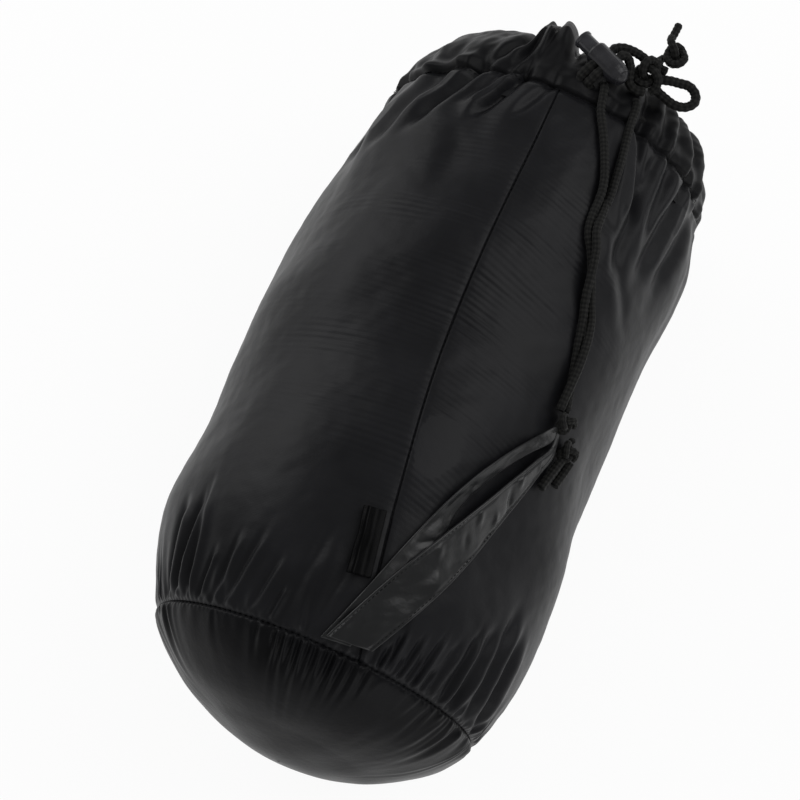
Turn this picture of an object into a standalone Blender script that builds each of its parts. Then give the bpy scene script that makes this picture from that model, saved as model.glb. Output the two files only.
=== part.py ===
"""A drawstring stuff sack, stuffed full and lying on its side.

The sack is a round tube of coated nylon with a domed base panel, a hem that holds the drawcord,
a sprung cord lock, a bow tied in the slack, and a carry handle: a folded fabric strap sewn into
the base seam and a doubled cord that ties it to the mouth.

Everything is modelled in the sack's own frame and then moved as one: Y runs from the base seam
(0) to the mouth, X across, Z up from the surface it lies on. "Turn" is the angle round the sack
from its top line towards +X, "arc" the same place as a length along the skin, and "lift" the
height over the skin.
"""

import math

import bmesh
import bpy
import numpy as np
from mathutils import Matrix, Vector

MM = 0.001

# Body
BODY_RADIUS = 99.5 * MM
BASE_SEAM_RADIUS = BODY_RADIUS - 14.5 * MM
HEM_RADIUS = BODY_RADIUS - 8.5 * MM
BODY_LENGTH = 308.0 * MM
BASE_SHOULDER = 60.0 * MM
MOUTH_SHOULDER = 103.0 * MM
DOME_DEPTH = 44.0 * MM
FABRIC = 1.0 * MM
FLOOR_SINK = 10.0 * MM
SWAY_MEAN = 2.1 * MM
SWAY_DEPTH = 3.7 * MM
SWAY_MIDDLE = BODY_LENGTH - 168.0 * MM
SWAY_WAVE = 360.0 * MM
GAP = 0.3 * MM
SIDES = 48
HOOPS = 14
DOME_HOOPS = 7
CROWN_HOOPS = 6

# Slow swells of the packed skin: turns per millimetre across, along and up, and where each starts
SWELL_HEIGHT = 0.7 * MM
SWELL_RISE = 80.0 * MM
SWELL_FALL = 30.0 * MM
SWELLS = (
    (0.052, 0.031, -0.027, 0.4), (-0.034, 0.050, 0.022, 2.1), (0.018, -0.062, 0.038, 4.4),
    (0.066, 0.012, 0.020, 1.3), (-0.012, 0.036, 0.058, 5.2), (0.041, -0.044, -0.036, 3.0),
    (-0.058, -0.022, 0.046, 0.9),
)
# Main folds that run back from the mouth: degrees round the sack, and depth
FOLDS = (
    (-103.0, 3.2), (-70.0, 2.8), (-37.0, 3.6), (-17.0, 2.6), (44.0, 2.6), (63.0, 3.0), (86.0, 3.0),
    (116.0, 3.0), (150.0, 2.6), (196.0, 2.6), (228.0, 3.0),
)
FOLD_WIDTH = 9.0 * MM
FOLD_REACH = 46.0 * MM
FOLD_END = 12.0 * MM

# Hem, as steps along the sack from the stitch line and drops in radius from the hem's
HEM_PATH = (
    (0.4, 0.5), (6.0, 1.0), (14.0, 2.4), (23.0, 5.2), (31.0, 9.8), (37.0, 15.4), (40.6, 19.8),
    (38.4, 22.4), (31.0, 20.6), (23.0, 16.8), (14.0, 12.8), (6.0, 8.2), (1.6, 3.6), (0.8, 2.3),
)
HEM_OUTER_POINTS = 7
PLEATS = 10
PLEAT_SIDES = 6
PLEAT_DEPTH = 3.4 * MM
PLEAT_RUN = 30.8 * MM
BUNCH_TURN = math.radians(-1.5)
BUNCH_WIDTH = math.radians(8.0)
BUNCH_REACH = 7.0 * MM
BUNCH_LIFT = 4.0 * MM
BUTTONHOLE = (18.9, 9.2, -3.5)
BUTTONHOLE_LENGTH = 20.0 * MM
BUTTONHOLE_WIDTH = 9.6 * MM
EYELET_RADIUS = 4.0 * MM
EYELET_REACH = 5.0
EYELET_SIDES = 14

# Filling
LOAD_CROWN_START = BODY_LENGTH - 12.0 * MM
LOAD_CROWN = 40.0 * MM

# Cords
DRAWCORD = 5.0 * MM
CARRY_CORD = 4.4 * MM
BEND_STEP = 0.8
RUN_STEP = 1.8
FINE_STEP = 0.8 * MM
CHANNEL_RUN_Y = BODY_LENGTH + 9.5 * MM
CHANNEL_RUN_DEPTH = 4.2 * MM
KNOT_SQUEEZE = 0.82
CARRY_SQUEEZE = 0.62
END_SHARE = 0.74
KNOT_ROUNDS = 400
KNOT_STEP = 0.6
CORD_END_GAP = 0.8 * MM
# Ends of the drawcord, in millimetres from the top of the hem's stitch line: inside the hem across
# and along the sack, beside the lock as an offset from it, then free
UPPER_IN_HEM = ((3.0, 9.5), (8.5, 9.5))
UPPER_RISE = ((-16.5, -5.4), (-13.0, -2.8), (-9.5, -0.6), (-7.0, 0.0), (0.0, 0.0), (7.0, 0.0), (9.3, 0.0))
UPPER_LEAD = (
    (31.6, 34.2, 0.9), (37.2, 35.6, -1.5), (42.0, 35.6, -3.7),
    (47.0, 35.0, -5.9),
)
LOWER_IN_HEM = ((36.0, 9.5), (30.5, 9.5), (25.6, 9.4))
LOWER_RISE = ((-13.5, -4.8), (-11.0, -2.4), (-8.5, -0.6), (-6.5, 0.0), (0.0, 0.0), (6.6, 0.0), (9.0, 0.0))
LOWER_LEAD = (
    (34.8, 29.8, 0.5), (37.6, 27.2, -2.1), (38.6, 23.2, -4.5), (40.6, 19.8, -6.5),
    (44.4, 19.0, -8.3), (48.4, 20.4, -9.3),
)
BOW_CENTRE = (52.5, 29.1, -8.5)
BOW_RUN, BOW_SIDE, BOW_LEAD = (0.15, 1.0, 0.15), (1.0, 0.0, -0.4), 1.9
BOW_LOOP = (
    (54.0, 30.2, -9.3), (58.6, 31.8, -9.7), (63.0, 33.0, -10.9), (68.6, 34.0, -12.1),
    (73.0, 31.4, -13.3), (74.0, 26.8, -14.1), (70.6, 22.8, -14.1), (65.0, 21.4, -13.3),
    (59.0, 22.6, -11.9), (54.0, 24.2, -10.7),
)
STOPPER_CENTRE = (50.6, 47.6, -9.0)
STOPPER_RUN, STOPPER_SIDE, STOPPER_LEAD = (0.05, 1.0, 0.0), (-1.0, 0.0, 0.2), 2.2
STOPPER_NECK = ((51.4, 34.4, -7.7),)
STOPPER_TIP = ((51.4, 60.6, -8.9), (51.6, 64.6, -8.9))
CARRY_TWISTS = 1.0
# The pair of carry strands: arc, share of the way from the handle's tip to the join, and lift
CARRY_TIP = 151.8
CARRY_JOIN = -52.3
CARRY_ROUTE = (
    (48.3, 1.0, 2.9), (49.6, 0.849, 2.9), (55.4, 0.743, 2.9), (63.2, 0.57, 2.9),
    (68.8, 0.454, 2.9), (73.0, 0.271, 2.9), (76.2, 0.108, 3.2), (77.8, -0.01, 4.7),
)
# Where the strands part: arc, millimetres from the hem's stitch line, and lift
CARRY_LEFT_TOP = (
    (22.2, 18.0, -6.2), (22.5, 15.1, -4.2), (22.6, 13.4, 0.2), (23.2, 11.0, 2.8),
    (24.6, 5.0, 3.4), (27.2, -5.0, 3.1),
    (34.6, -19.4, 2.9), (42.6, -37.0, 2.9), (45.4, -46.0, 2.9), (45.9, -50.9, 2.9),
)
CARRY_RIGHT_TOP = (
    (41.4, 19.0, -6.2), (41.5, 16.1, -4.2), (41.6, 14.4, 0.2), (42.0, 12.0, 2.8),
    (42.8, 6.0, 3.4), (43.8, -4.0, 3.1),
    (47.2, -24.4, 2.9), (49.4, -38.0, 2.9), (50.6, -46.0, 2.9), (50.7, -50.9, 2.9),
)
CARRY_BIGHT = (
    (22.2, 17.0, -6.2), (22.6, 22.0, -6.4), (27.0, 25.6, -6.4), (32.2, 26.4, -6.4),
    (37.0, 25.8, -6.4), (41.0, 23.0, -6.4), (41.4, 18.0, -6.2),
)
# Knots at the handle's tip: place, direction of their cord line, and lead in cord diameters
CARRY_KNOTS = (
    ("carry_knot", (82.4, 150.2, 5.6), (10.0, -5.6), 1.8),
    ("tail_knot", (93.4, 139.0, 4.7), (6.0, -8.0), 1.8),
)
CARRY_TAILS = (
    ("carry_tail_long", ((91.0, 135.0, 4.8), (89.0, 127.0, 3.4), (85.6, 113.6, 2.8))),
    ("carry_tail_short", ((96.2, 134.0, 4.6), (95.6, 127.0, 3.4), (93.8, 119.4, 2.8))),
)

# Cord lock
BARREL_LENGTH = 23.3 * MM
BARREL_RADIUS = 6.15 * MM
BARREL_WALL = 1.45 * MM
BARREL_END = 2.0 * MM
BARREL_NOSE = 9.0 * MM
BARREL_EDGE = 1.0 * MM
LOCK_CLEARANCE = 0.2 * MM
PLUNGER_REACH = 10.0 * MM
PLUNGER_INNER_END = 15.7 * MM
PLUNGER_RIM = 0.5 * MM
PLUNGER_BAND = 2.0 * MM
PLUNGER_EDGE = 0.4 * MM
PLUNGER_DISH = 0.6 * MM
PRESS_TRAVEL = 3.0 * MM
CORD_PITCH = 5.4 * MM
CORD_MIDDLE = 8.3 * MM
CORD_CLEARANCE = 0.3 * MM
SPRING_WIRE = 0.6 * MM
SPRING_RADIUS = 3.4 * MM
SPRING_TURNS = 3.0
LOCK_SHOULDER = (18.2, 26.4, 1.5)
LOCK_TIP = (39.0, 14.8, 2.7)

# Label
LABEL_LENGTH = 31.5 * MM
LABEL_REACH = 11.0 * MM
LABEL_THICKNESS = 0.8 * MM
LABEL_FOLD = 1.7 * MM
LABEL_Y = 49.4 * MM
LABEL_SEAM_OFFSET = 3.0
LABEL_ROUND = 8
SEAM_START, SEAM_SLANT, SEAM_CURVE = 27.0, 0.125, 0.00016
LABEL_LIFT = 1.1

# Carry strap, in arc and Y on the skin
STRAP_THICKNESS = 1.4 * MM
STRAP_STATIONS = 9
STRAP_LIFT = 1.9
# The strand on top of the loop: its outer edge from root to tip, its widths, and how far it bows
TOP_EDGE = ((6.7, 2.2), (73.4, 136.4))
TOP_WIDTHS = (20.0, 5.0)
TOP_BOW = 7.0
TOP_RISE = 6.0
TIP_RISE = 2.4
# The fold at the tip, then both edges of the strand that runs back: arc, Y and lift
TIP_EDGES = ((76.4, 139.8, 4.2), (79.0, 137.0, 3.8))
BACK_NEAR = ((9.0, 3.2, 4.2), (79.4, 132.4, 5.2))
BACK_FAR = ((30.5, 5.4, 4.2), (84.2, 129.6, 3.4))
BACK_RISE = 3.0
BACK_SINK = 1.8

# Where the handle's hinge line passes over the strap's root
HINGE_ROOT = (5.0, 1.0, 9.0)


def clear_scene():
    for item in list(bpy.data.objects):
        bpy.data.objects.remove(item)


# ---------------------------------------------------------------- shape of the sack

def sway(y):
    """How far the sack's axis bends across, along its length."""
    return SWAY_MEAN - SWAY_DEPTH * math.cos(math.tau * (y - SWAY_MIDDLE) / SWAY_WAVE)


def axis_height():
    return BODY_RADIUS - FLOOR_SINK


def dome_radius(y):
    depth = min(max(-y / DOME_DEPTH, 0.0), 1.0)
    return BASE_SEAM_RADIUS * (1 - depth ** 1.6) ** 0.55


def body_radius(y):
    base = min(max(1 - y / BASE_SHOULDER, 0.0), 1.0)
    mouth = min(max((y - BODY_LENGTH + MOUTH_SHOULDER) / MOUTH_SHOULDER, 0.0), 1.0)
    shoulder = (BODY_RADIUS - BASE_SEAM_RADIUS) * base ** 2.1
    return BODY_RADIUS - shoulder - (BODY_RADIUS - HEM_RADIUS) * mouth ** 2


def hem_point(step, drop):
    return BODY_LENGTH + step * MM, HEM_RADIUS - drop * MM


def skin_radius(y):
    """Radius of the outer face at rest, before the floor flattens it."""
    if y < 0:
        return dome_radius(y)
    if y <= BODY_LENGTH:
        return body_radius(y)
    outer = [hem_point(*pair) for pair in HEM_PATH[:HEM_OUTER_POINTS]]
    return float(np.interp(y, [p[0] for p in outer], [p[1] for p in outer]))


def floor_dent(radius, turn):
    """How far the floor pushes a radius in, at a turn round the sack."""
    down = -math.cos(turn)
    if down <= 0:
        return 0.0
    return max(0.0, radius - axis_height() / down)


def relief(y, turn):
    """Slow swells of the filled body and the main folds at its mouth, none at either seam."""
    if y <= 0 or y >= BODY_LENGTH:
        return 0.0
    across, up = BODY_RADIUS / MM * math.sin(turn), BODY_RADIUS / MM * math.cos(turn)
    waves = sum(math.sin(a * across + b * y / MM + c * up + start) for a, b, c, start in SWELLS)
    from_mouth = BODY_LENGTH - y
    fade = min(1.0, y / SWELL_RISE) * min(1.0, from_mouth / SWELL_FALL)
    depth = 0.0
    for place_round, fold in FOLDS:
        off = (turn - math.radians(place_round) + math.pi) % math.tau - math.pi
        depth += fold * MM * math.exp(-(off * BODY_RADIUS / FOLD_WIDTH) ** 2)
    reach = min(1.0, from_mouth / FOLD_END) * math.exp(-(from_mouth / FOLD_REACH) ** 1.5)
    return SWELL_HEIGHT * fade * waves - depth * reach


def around(y, radius, turn):
    return Vector((
        sway(y) + radius * math.sin(turn),
        y,
        axis_height() + radius * math.cos(turn),
    ))


def ring(y, depth, sides=SIDES):
    """One hoop of the sack, a depth under its skin."""
    hoop = []
    for k in range(sides):
        turn = math.tau * k / sides
        radius = skin_radius(y) + relief(y, turn)
        hoop.append(around(y, radius - depth - floor_dent(radius, turn), turn))
    return hoop


def on_skin(arc, y, lift):
    """A point over the skin, from millimetres round it, along it and off it."""
    y = y * MM
    radius = skin_radius(y)
    turn = arc * MM / radius
    return around(y, radius + relief(y, turn) + lift * MM, turn)


def at_mouth(*route):
    """Points in millimetres from the top of the hem's stitch line: across, along and up."""
    top = Vector((0.0, BODY_LENGTH, axis_height() + HEM_RADIUS))
    return [top + Vector(point) * MM for point in route]


def by_mouth(*route):
    """Points on the skin from millimetres round the sack, from the hem's stitch line, and off it."""
    return [on_skin(arc, BODY_LENGTH / MM + y, lift) for arc, y, lift in route]


def eased(start, end, count):
    """Places from start to end, closer together at both ends."""
    return [start + (end - start) * (1 - math.cos(math.pi * k / count)) / 2 for k in range(count + 1)]


# ---------------------------------------------------------------- building blocks

def material(name, colour, roughness, metallic=0.0):
    found = bpy.data.materials.get(name)
    if found:
        return found
    made = bpy.data.materials.new(name)
    made.use_nodes = True
    shader = made.node_tree.nodes["Principled BSDF"]
    shader.inputs["Base Color"].default_value = (*colour, 1.0)
    shader.inputs["Roughness"].default_value = roughness
    shader.inputs["Metallic"].default_value = metallic
    return made


def taffeta():
    return material("black_taffeta", (0.012, 0.012, 0.014), 0.42)


def hem_taffeta():
    return material("hem_taffeta", (0.014, 0.014, 0.016), 0.46)


def base_taffeta():
    return material("base_taffeta", (0.011, 0.011, 0.013), 0.40)


def strap_cloth():
    return material("strap_taffeta", (0.016, 0.016, 0.018), 0.38)


def quilted_lining():
    return material("quilted_filling", (0.020, 0.021, 0.024), 0.55)


def braid():
    return material("black_braid", (0.014, 0.014, 0.013), 0.78)


def satin():
    return material("label_satin", (0.010, 0.010, 0.011), 0.35)


def moulded():
    return material("moulded_plastic", (0.045, 0.046, 0.050), 0.32)


def plunger_plastic():
    return material("plunger_plastic", (0.060, 0.061, 0.066), 0.28)


def spring_steel():
    return material("spring_steel", (0.55, 0.55, 0.57), 0.25, 1.0)


def place(item, frame, origin=None):
    """Hang an object on the sack's frame, with its origin at its joint if it has one."""
    item.parent = frame
    if origin is not None:
        item.data.transform(Matrix.Translation(-Vector(origin)))
        item.location = origin
    return item


def loft(name, rings, look, closed=False, smooth=True):
    """Skin a run of hoops; a hoop of one point is a pole, and closed joins last to first.

    Quads are split the same way on both faces of a wall, so that its thickness stays even.
    """
    mesh = bmesh.new()
    rows = [[mesh.verts.new(point) for point in hoop] for hoop in rings]
    pairs = list(zip(rows, rows[1:]))
    if closed:
        pairs.append((rows[-1], rows[0]))
    for low, high in pairs:
        count = max(len(low), len(high))
        rising = low[0].co.y < high[0].co.y
        for k in range(count):
            n = (k + 1) % count
            if len(low) != len(high):
                corners = [low[k % len(low)], low[n % len(low)], high[n % len(high)], high[k % len(high)]]
                mesh.faces.new(list(dict.fromkeys(corners)))
            elif rising:
                mesh.faces.new((low[k], low[n], high[n]))
                mesh.faces.new((low[k], high[n], high[k]))
            else:
                mesh.faces.new((low[k], low[n], high[k]))
                mesh.faces.new((low[n], high[n], high[k]))
    bmesh.ops.recalc_face_normals(mesh, faces=mesh.faces)
    data = bpy.data.meshes.new(name)
    mesh.to_mesh(data)
    mesh.free()
    item = bpy.data.objects.new(name, data)
    bpy.context.scene.collection.objects.link(item)
    data.materials.append(look)
    if smooth:
        data.shade_smooth()
        data.set_sharp_from_angle(angle=math.radians(50))
    return item


def bar(name, sections, look):
    """A solid of equal closed sections with both ends filled."""
    mesh = bmesh.new()
    rows = [[mesh.verts.new(point) for point in section] for section in sections]
    for low, high in zip(rows, rows[1:]):
        for k in range(len(low)):
            n = (k + 1) % len(low)
            mesh.faces.new((low[k], low[n], high[n], high[k]))
    mesh.faces.new(rows[0])
    mesh.faces.new(rows[-1])
    bmesh.ops.triangulate(mesh, faces=[f for f in mesh.faces if len(f.verts) > 4])
    bmesh.ops.recalc_face_normals(mesh, faces=mesh.faces)
    data = bpy.data.meshes.new(name)
    mesh.to_mesh(data)
    mesh.free()
    item = bpy.data.objects.new(name, data)
    bpy.context.scene.collection.objects.link(item)
    data.materials.append(look)
    return item


def turned(name, profile, look, sides=28):
    """A turned solid about Z from (radius, height) pairs that start and end on the axis."""
    rings = []
    for radius, height in profile:
        if radius == 0:
            rings.append([Vector((0, 0, height))])
        else:
            rings.append([
                Vector((radius * math.cos(math.tau * k / sides), radius * math.sin(math.tau * k / sides), height))
                for k in range(sides)
            ])
    return loft(name, rings, look)


def cut(item, cutter):
    """Cut one solid out of another and keep the cutter as a hidden guide."""
    cutter.hide_render = True
    cutter.display_type = "WIRE"
    step = item.modifiers.new("cut_" + cutter.name, "BOOLEAN")
    step.operation = "DIFFERENCE"
    step.solver = "EXACT"
    step.object = cutter


def slot_cutter(name, half_width, low, high, reach, sides=16):
    """A slot with round ends along Z, from low to high, cut through along X."""
    outline = []
    for k in range(sides + 1):
        angle = math.pi * k / sides
        outline.append((half_width * math.cos(angle), high - half_width + half_width * math.sin(angle)))
    for k in range(sides + 1):
        angle = math.pi + math.pi * k / sides
        outline.append((half_width * math.cos(angle), low + half_width + half_width * math.sin(angle)))
    sections = [[Vector((x, y, z)) for y, z in outline] for x in (-reach, reach)]
    return bar(name, sections, moulded())


# ---------------------------------------------------------------- cords

def smooth_route(route, step):
    """Read evenly spaced points from a smooth curve through the route's own points."""
    points = [np.array(point, dtype=float) for point in route]
    ends = [2 * points[0] - points[1], *points, 2 * points[-1] - points[-2]]
    fine = []
    for a, b, c, d in zip(ends, ends[1:], ends[2:], ends[3:]):
        for t in np.arange(0, 1, 0.05):
            curve = 2 * b + (c - a) * t + (2 * a - 5 * b + 4 * c - d) * t ** 2
            fine.append(0.5 * (curve + (3 * b - a - 3 * c + d) * t ** 3))
    fine.append(points[-1])
    return evenly(np.array(fine), step)


def clear_of(points, diameter, *others):
    """The longest run of a cord's points that stays clear of other cords."""
    free = np.ones(len(points), dtype=bool)
    for other, other_diameter in others:
        away = np.sqrt(((points[:, None] - other[None]) ** 2).sum(axis=2)).min(axis=1)
        free &= away > (END_SHARE * diameter + other_diameter) / 2 + GAP
    runs = []
    for k, is_free in enumerate(free):
        if is_free and k and free[k - 1]:
            runs[-1].append(k)
        elif is_free:
            runs.append([k])
    return points[max(runs, key=len)]


def evenly(points, step):
    lengths = np.sqrt(((points[1:] - points[:-1]) ** 2).sum(axis=1))
    along = np.concatenate([[0.0], np.cumsum(lengths)])
    count = max(2, int(round(along[-1] / step)) + 1)
    places = np.linspace(0.0, along[-1], count)
    return np.stack([np.interp(places, along, points[:, k]) for k in range(3)], axis=1)


def tube(name, points, diameter, look):
    """A cord along its points, with filled ends."""
    data = bpy.data.curves.new(name, "CURVE")
    data.dimensions = "3D"
    data.bevel_depth = diameter / 2
    data.bevel_resolution = 2
    data.use_fill_caps = True
    data.render_resolution_u = 0
    line = data.splines.new("POLY")
    line.points.add(len(points) - 1)
    for slot, point in zip(line.points, points):
        slot.co = (*[float(x) for x in point], 1.0)
    data.materials.append(look)
    item = bpy.data.objects.new(name, data)
    bpy.context.scene.collection.objects.link(item)
    return item


def overhand(lead):
    """An overhand knot in cord diameters: three lobes of a torus knot, opened, with its leads."""
    hoop, swing, opening = 1.3, 0.58, 0.42
    lobes = []
    for t in np.linspace(opening, math.tau - opening, 25):
        reach = hoop + swing * math.cos(3 * t)
        lobes.append((reach * math.cos(2 * t), reach * math.sin(2 * t), swing * math.sin(3 * t)))
    leads = ((1.95, 0.25, 0.62), (1.95, -0.75, 0.58), (1.35, -1.9, 0.3), (1.0, -lead, 0.0))
    first = list(leads[::-1])
    last = [(x, -y, -z) for x, y, z in leads]
    return np.array(first + lobes + last)


def tighten(points, rounds, pitch=0.22, clear=1.09, reach=1.7):
    """Draw a knot tight: shorten its line a little, then push turns apart, over and over."""
    points = evenly(points, pitch)
    for step in range(rounds):
        inner = points[1:-1] + 0.5 * (0.5 * (points[:-2] + points[2:]) - points[1:-1])
        points = np.concatenate([points[:1], inner, points[-1:]])
        for _ in range(3):
            away = points[:, None] - points[None]
            distance = np.sqrt((away ** 2).sum(axis=2)) + 1e-9
            order = np.arange(len(points))
            far = np.abs(order[:, None] - order[None]) * pitch > reach
            short = np.where(far & (distance < clear), clear - distance, 0.0)
            move = (away / distance[:, :, None] * short[:, :, None] * 0.5).sum(axis=1)
            move = move / np.sqrt(np.maximum(1, (short > 0).sum(axis=1)))[:, None]
            move[0] = 0
            move[-1] = 0
            points = points + move
        if step % 5 == 4:
            points = evenly(points, pitch)
    return points


def self_gap(points, diameter):
    """Least gap between the turns of one cord, surface to surface."""
    away = np.sqrt(((points[:, None] - points[None]) ** 2).sum(axis=2))
    lengths = np.sqrt(((points[1:] - points[:-1]) ** 2).sum(axis=1))
    along = np.concatenate([[0.0], np.cumsum(lengths)])
    far = np.abs(along[:, None] - along[None]) > 2.2 * diameter
    return float(np.where(far, away, np.inf).min() - diameter)


def knot_points(centre, along, across, diameter, lead):
    """A tightened overhand knot, placed with its cord line along one direction."""
    drawn = tighten(overhand(lead), KNOT_ROUNDS)
    drawn = drawn - np.array((1.0, 0.0, 0.0))
    y_axis = Vector(along).normalized()
    x_axis = (Vector(across) - Vector(across).dot(y_axis) * y_axis).normalized()
    z_axis = x_axis.cross(y_axis)
    placed = [
        centre + diameter * (x_axis * float(p[0]) + y_axis * float(p[1]) + z_axis * float(p[2]))
        for p in drawn
    ]
    return np.array([tuple(p) for p in placed])


# ---------------------------------------------------------------- fabric pieces

def wall_places():
    """Where the hoops of the body lie along the sack."""
    return eased(GAP / 2, BODY_LENGTH, HOOPS)


def dome_places(inset):
    """Where the hoops of the base dome lie, for a face that is set in from the skin."""
    shares = [0.988 * math.sin(math.pi / 2 * k / DOME_HOOPS) for k in range(DOME_HOOPS)]
    return [-share * (DOME_DEPTH - inset) - GAP / 2 for share in shares]


def dome_tip(inset):
    return [Vector((sway(-DOME_DEPTH), inset - DOME_DEPTH, axis_height()))]


def body_panel(frame):
    outside = [ring(y, 0.0) for y in wall_places()]
    inside = [ring(y, FABRIC) for y in reversed(wall_places())]
    return place(loft("body_panel", outside + inside, taffeta(), closed=True), frame)


def base_panel(frame):
    outside = [ring(y, 0.0) for y in dome_places(0.0)]
    inside = [ring(y, FABRIC) for y in dome_places(FABRIC)]
    rings = [dome_tip(0.0)] + outside[::-1] + inside + [dome_tip(FABRIC)]
    return place(loft("base_panel", rings, base_taffeta()), frame)


def stuffed_filling(frame):
    """The soft goods inside, which give the sack its form and show in its mouth."""
    depth = FABRIC + GAP
    base = [ring(y, depth + GAP) for y in dome_places(depth + 2 * GAP)]
    wall = [ring(y, depth) for y in wall_places() if y < LOAD_CROWN_START]
    crown = []
    for k in range(1, CROWN_HOOPS):
        angle = math.pi / 2 * k / CROWN_HOOPS
        y = LOAD_CROWN_START + LOAD_CROWN * math.sin(angle)
        shrink = math.cos(angle)
        hoop = []
        for side in range(SIDES):
            turn = math.tau * side / SIDES
            radius = body_radius(LOAD_CROWN_START) - depth - floor_dent(HEM_RADIUS, turn)
            hoop.append(around(y, radius * shrink, turn))
        crown.append(hoop)
    end = LOAD_CROWN_START + LOAD_CROWN
    top = [Vector((sway(end), end, axis_height()))]
    rings = [dome_tip(depth + 2 * GAP)] + base[::-1] + wall + crown + [top]
    return place(loft("stuffed_filling", rings, quilted_lining()), frame)


def pleat(turn, step):
    """How far a pleat of the gathered hem lies in, none at the stitch line."""
    share = min(1.0, step * MM / PLEAT_RUN)
    return PLEAT_DEPTH * share * (1 - math.cos(PLEATS * turn)) / 2


def bunch(turn, step):
    """Share of the gathered bunch at the top of the mouth, from the stitch line to the fold."""
    off = (turn - BUNCH_TURN + math.pi) % math.tau - math.pi
    return math.exp(-(off / BUNCH_WIDTH) ** 2) * min(1.0, step * MM / PLEAT_RUN) ** 2


def hem_sections():
    """The folded hem as one strip of fabric: its outline, thickened to both sides."""
    path = np.array(HEM_PATH)
    lanes = []
    for side in (0.5, -0.5):
        lane = []
        for k, point in enumerate(path):
            before = path[max(k - 1, 0)]
            after = path[min(k + 1, len(path) - 1)]
            run = (after - before) / np.hypot(*(after - before))
            lane.append(point + side * FABRIC / MM * np.array((run[1], -run[0])))
        lanes.append(lane)
    return lanes[0] + lanes[1][::-1]


def drawcord_casing(frame):
    sides = PLEATS * PLEAT_SIDES
    rings = []
    for step, drop in hem_sections():
        y, radius = hem_point(step, drop)
        hoop = []
        for k in range(sides):
            turn = math.tau * k / sides
            dent = floor_dent(HEM_RADIUS, turn)
            gathered = bunch(turn, step)
            reach = radius - pleat(turn, step) - dent + BUNCH_LIFT * gathered
            hoop.append(around(y + BUNCH_REACH * gathered, reach, turn))
        rings.append(hoop)
    casing = place(loft("drawcord_casing", rings, hem_taffeta(), closed=True), frame)
    half = BUTTONHOLE_WIDTH / 2
    buttonhole = slot_cutter("buttonhole_guide", half, -BUTTONHOLE_LENGTH / 2, BUTTONHOLE_LENGTH / 2, 3 * MM)
    upright = lock_matrix() @ Matrix.Rotation(math.radians(90), 4, "Z")
    upright.translation = at_mouth(BUTTONHOLE)[0]
    buttonhole.matrix_local = upright
    buttonhole.parent = frame
    cut(casing, buttonhole)
    for name, route in (("left_eyelet_guide", CARRY_LEFT_TOP), ("right_eyelet_guide", CARRY_RIGHT_TOP)):
        arc, y, _ = route[2]
        low, high = by_mouth((arc, y, -EYELET_REACH), (arc, y, EYELET_REACH / 2))
        axis = (high - low).normalized()
        side = axis.cross(Vector((0, 1, 0))).normalized() * EYELET_RADIUS
        up = axis.cross(side)
        turns = [math.tau * k / EYELET_SIDES for k in range(EYELET_SIDES)]
        sections = [[end + side * math.cos(t) + up * math.sin(t) for t in turns] for end in (low, high)]
        eyelet = place(bar(name, sections, hem_taffeta()), frame)
        cut(casing, eyelet)
    return casing


# ---------------------------------------------------------------- carry strap and label

def ribbon_section(one, two, normal, thickness):
    """A flat section between two edges."""
    half = normal.normalized() * thickness / 2
    return [one + half, two + half, two - half, one - half]


def blend(start, end, share):
    return start + (end - start) * share


def between(start, end, share):
    return [blend(one, two, share) for one, two in zip(start, end)]


def strap_lanes():
    """Both edges of the strap's loop, from its root over the tip and back to its root."""
    shares = [k / (STRAP_STATIONS - 1) for k in range(STRAP_STATIONS)]
    lanes = []
    for share in shares:
        belly = math.sin(math.pi * share ** 1.9)
        arc, y = between(*TOP_EDGE, share)
        outer = (arc - TOP_BOW * belly, y, STRAP_LIFT + TOP_RISE * belly)
        width = blend(*TOP_WIDTHS, min(1.0, share * 2.2))
        skew = blend(0.1, -0.35, min(1.0, share * 3))
        lanes.append((outer, (outer[0] + width, y + skew * width, STRAP_LIFT + TIP_RISE * share ** 4)))
    lanes.append(TIP_EDGES)
    for share in reversed(shares):
        belly = math.sin(math.pi * share)
        near, far = between(*BACK_NEAR, share), between(*BACK_FAR, share)
        lanes.append(((*near[:2], near[2] + BACK_RISE * belly), (*far[:2], far[2] - BACK_SINK * belly)))
    return lanes


def carry_strap(frame, origin):
    lanes = [(on_skin(*one), on_skin(*two)) for one, two in strap_lanes()]
    middles = [(one + two) / 2 for one, two in lanes]
    sections = []
    for k, (one, two) in enumerate(lanes):
        run = middles[min(k + 1, len(lanes) - 1)] - middles[max(k - 1, 0)]
        sections.append(ribbon_section(one, two, run.cross(two - one), STRAP_THICKNESS))
    return place(bar("carry_strap", sections, strap_cloth()), frame, origin)


def seam_arc(y):
    """Where the side seam runs round the sack, in millimetres at a place along it."""
    return SEAM_START - SEAM_SLANT * y + SEAM_CURVE * y * y


def label_matrix():
    """The label's frame: Y along the side seam, X across the skin, Z off it."""
    middle = LABEL_Y / MM
    reach = LABEL_LENGTH / MM / 2
    origin = on_skin(seam_arc(middle) - LABEL_SEAM_OFFSET, middle, LABEL_LIFT)
    ahead = on_skin(seam_arc(middle + reach) - LABEL_SEAM_OFFSET, middle + reach, LABEL_LIFT)
    behind = on_skin(seam_arc(middle - reach) - LABEL_SEAM_OFFSET, middle - reach, LABEL_LIFT)
    along = (ahead - behind).normalized()
    under = seam_arc(middle) - LABEL_REACH / MM / 2 - LABEL_SEAM_OFFSET
    off = on_skin(under, middle, LABEL_REACH / MM) - on_skin(under, middle, 0.0)
    across = along.cross(off).normalized()
    off = across.cross(along)
    frame = Matrix((across, along, off)).transposed().to_4x4()
    frame.translation = origin
    return frame


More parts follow.
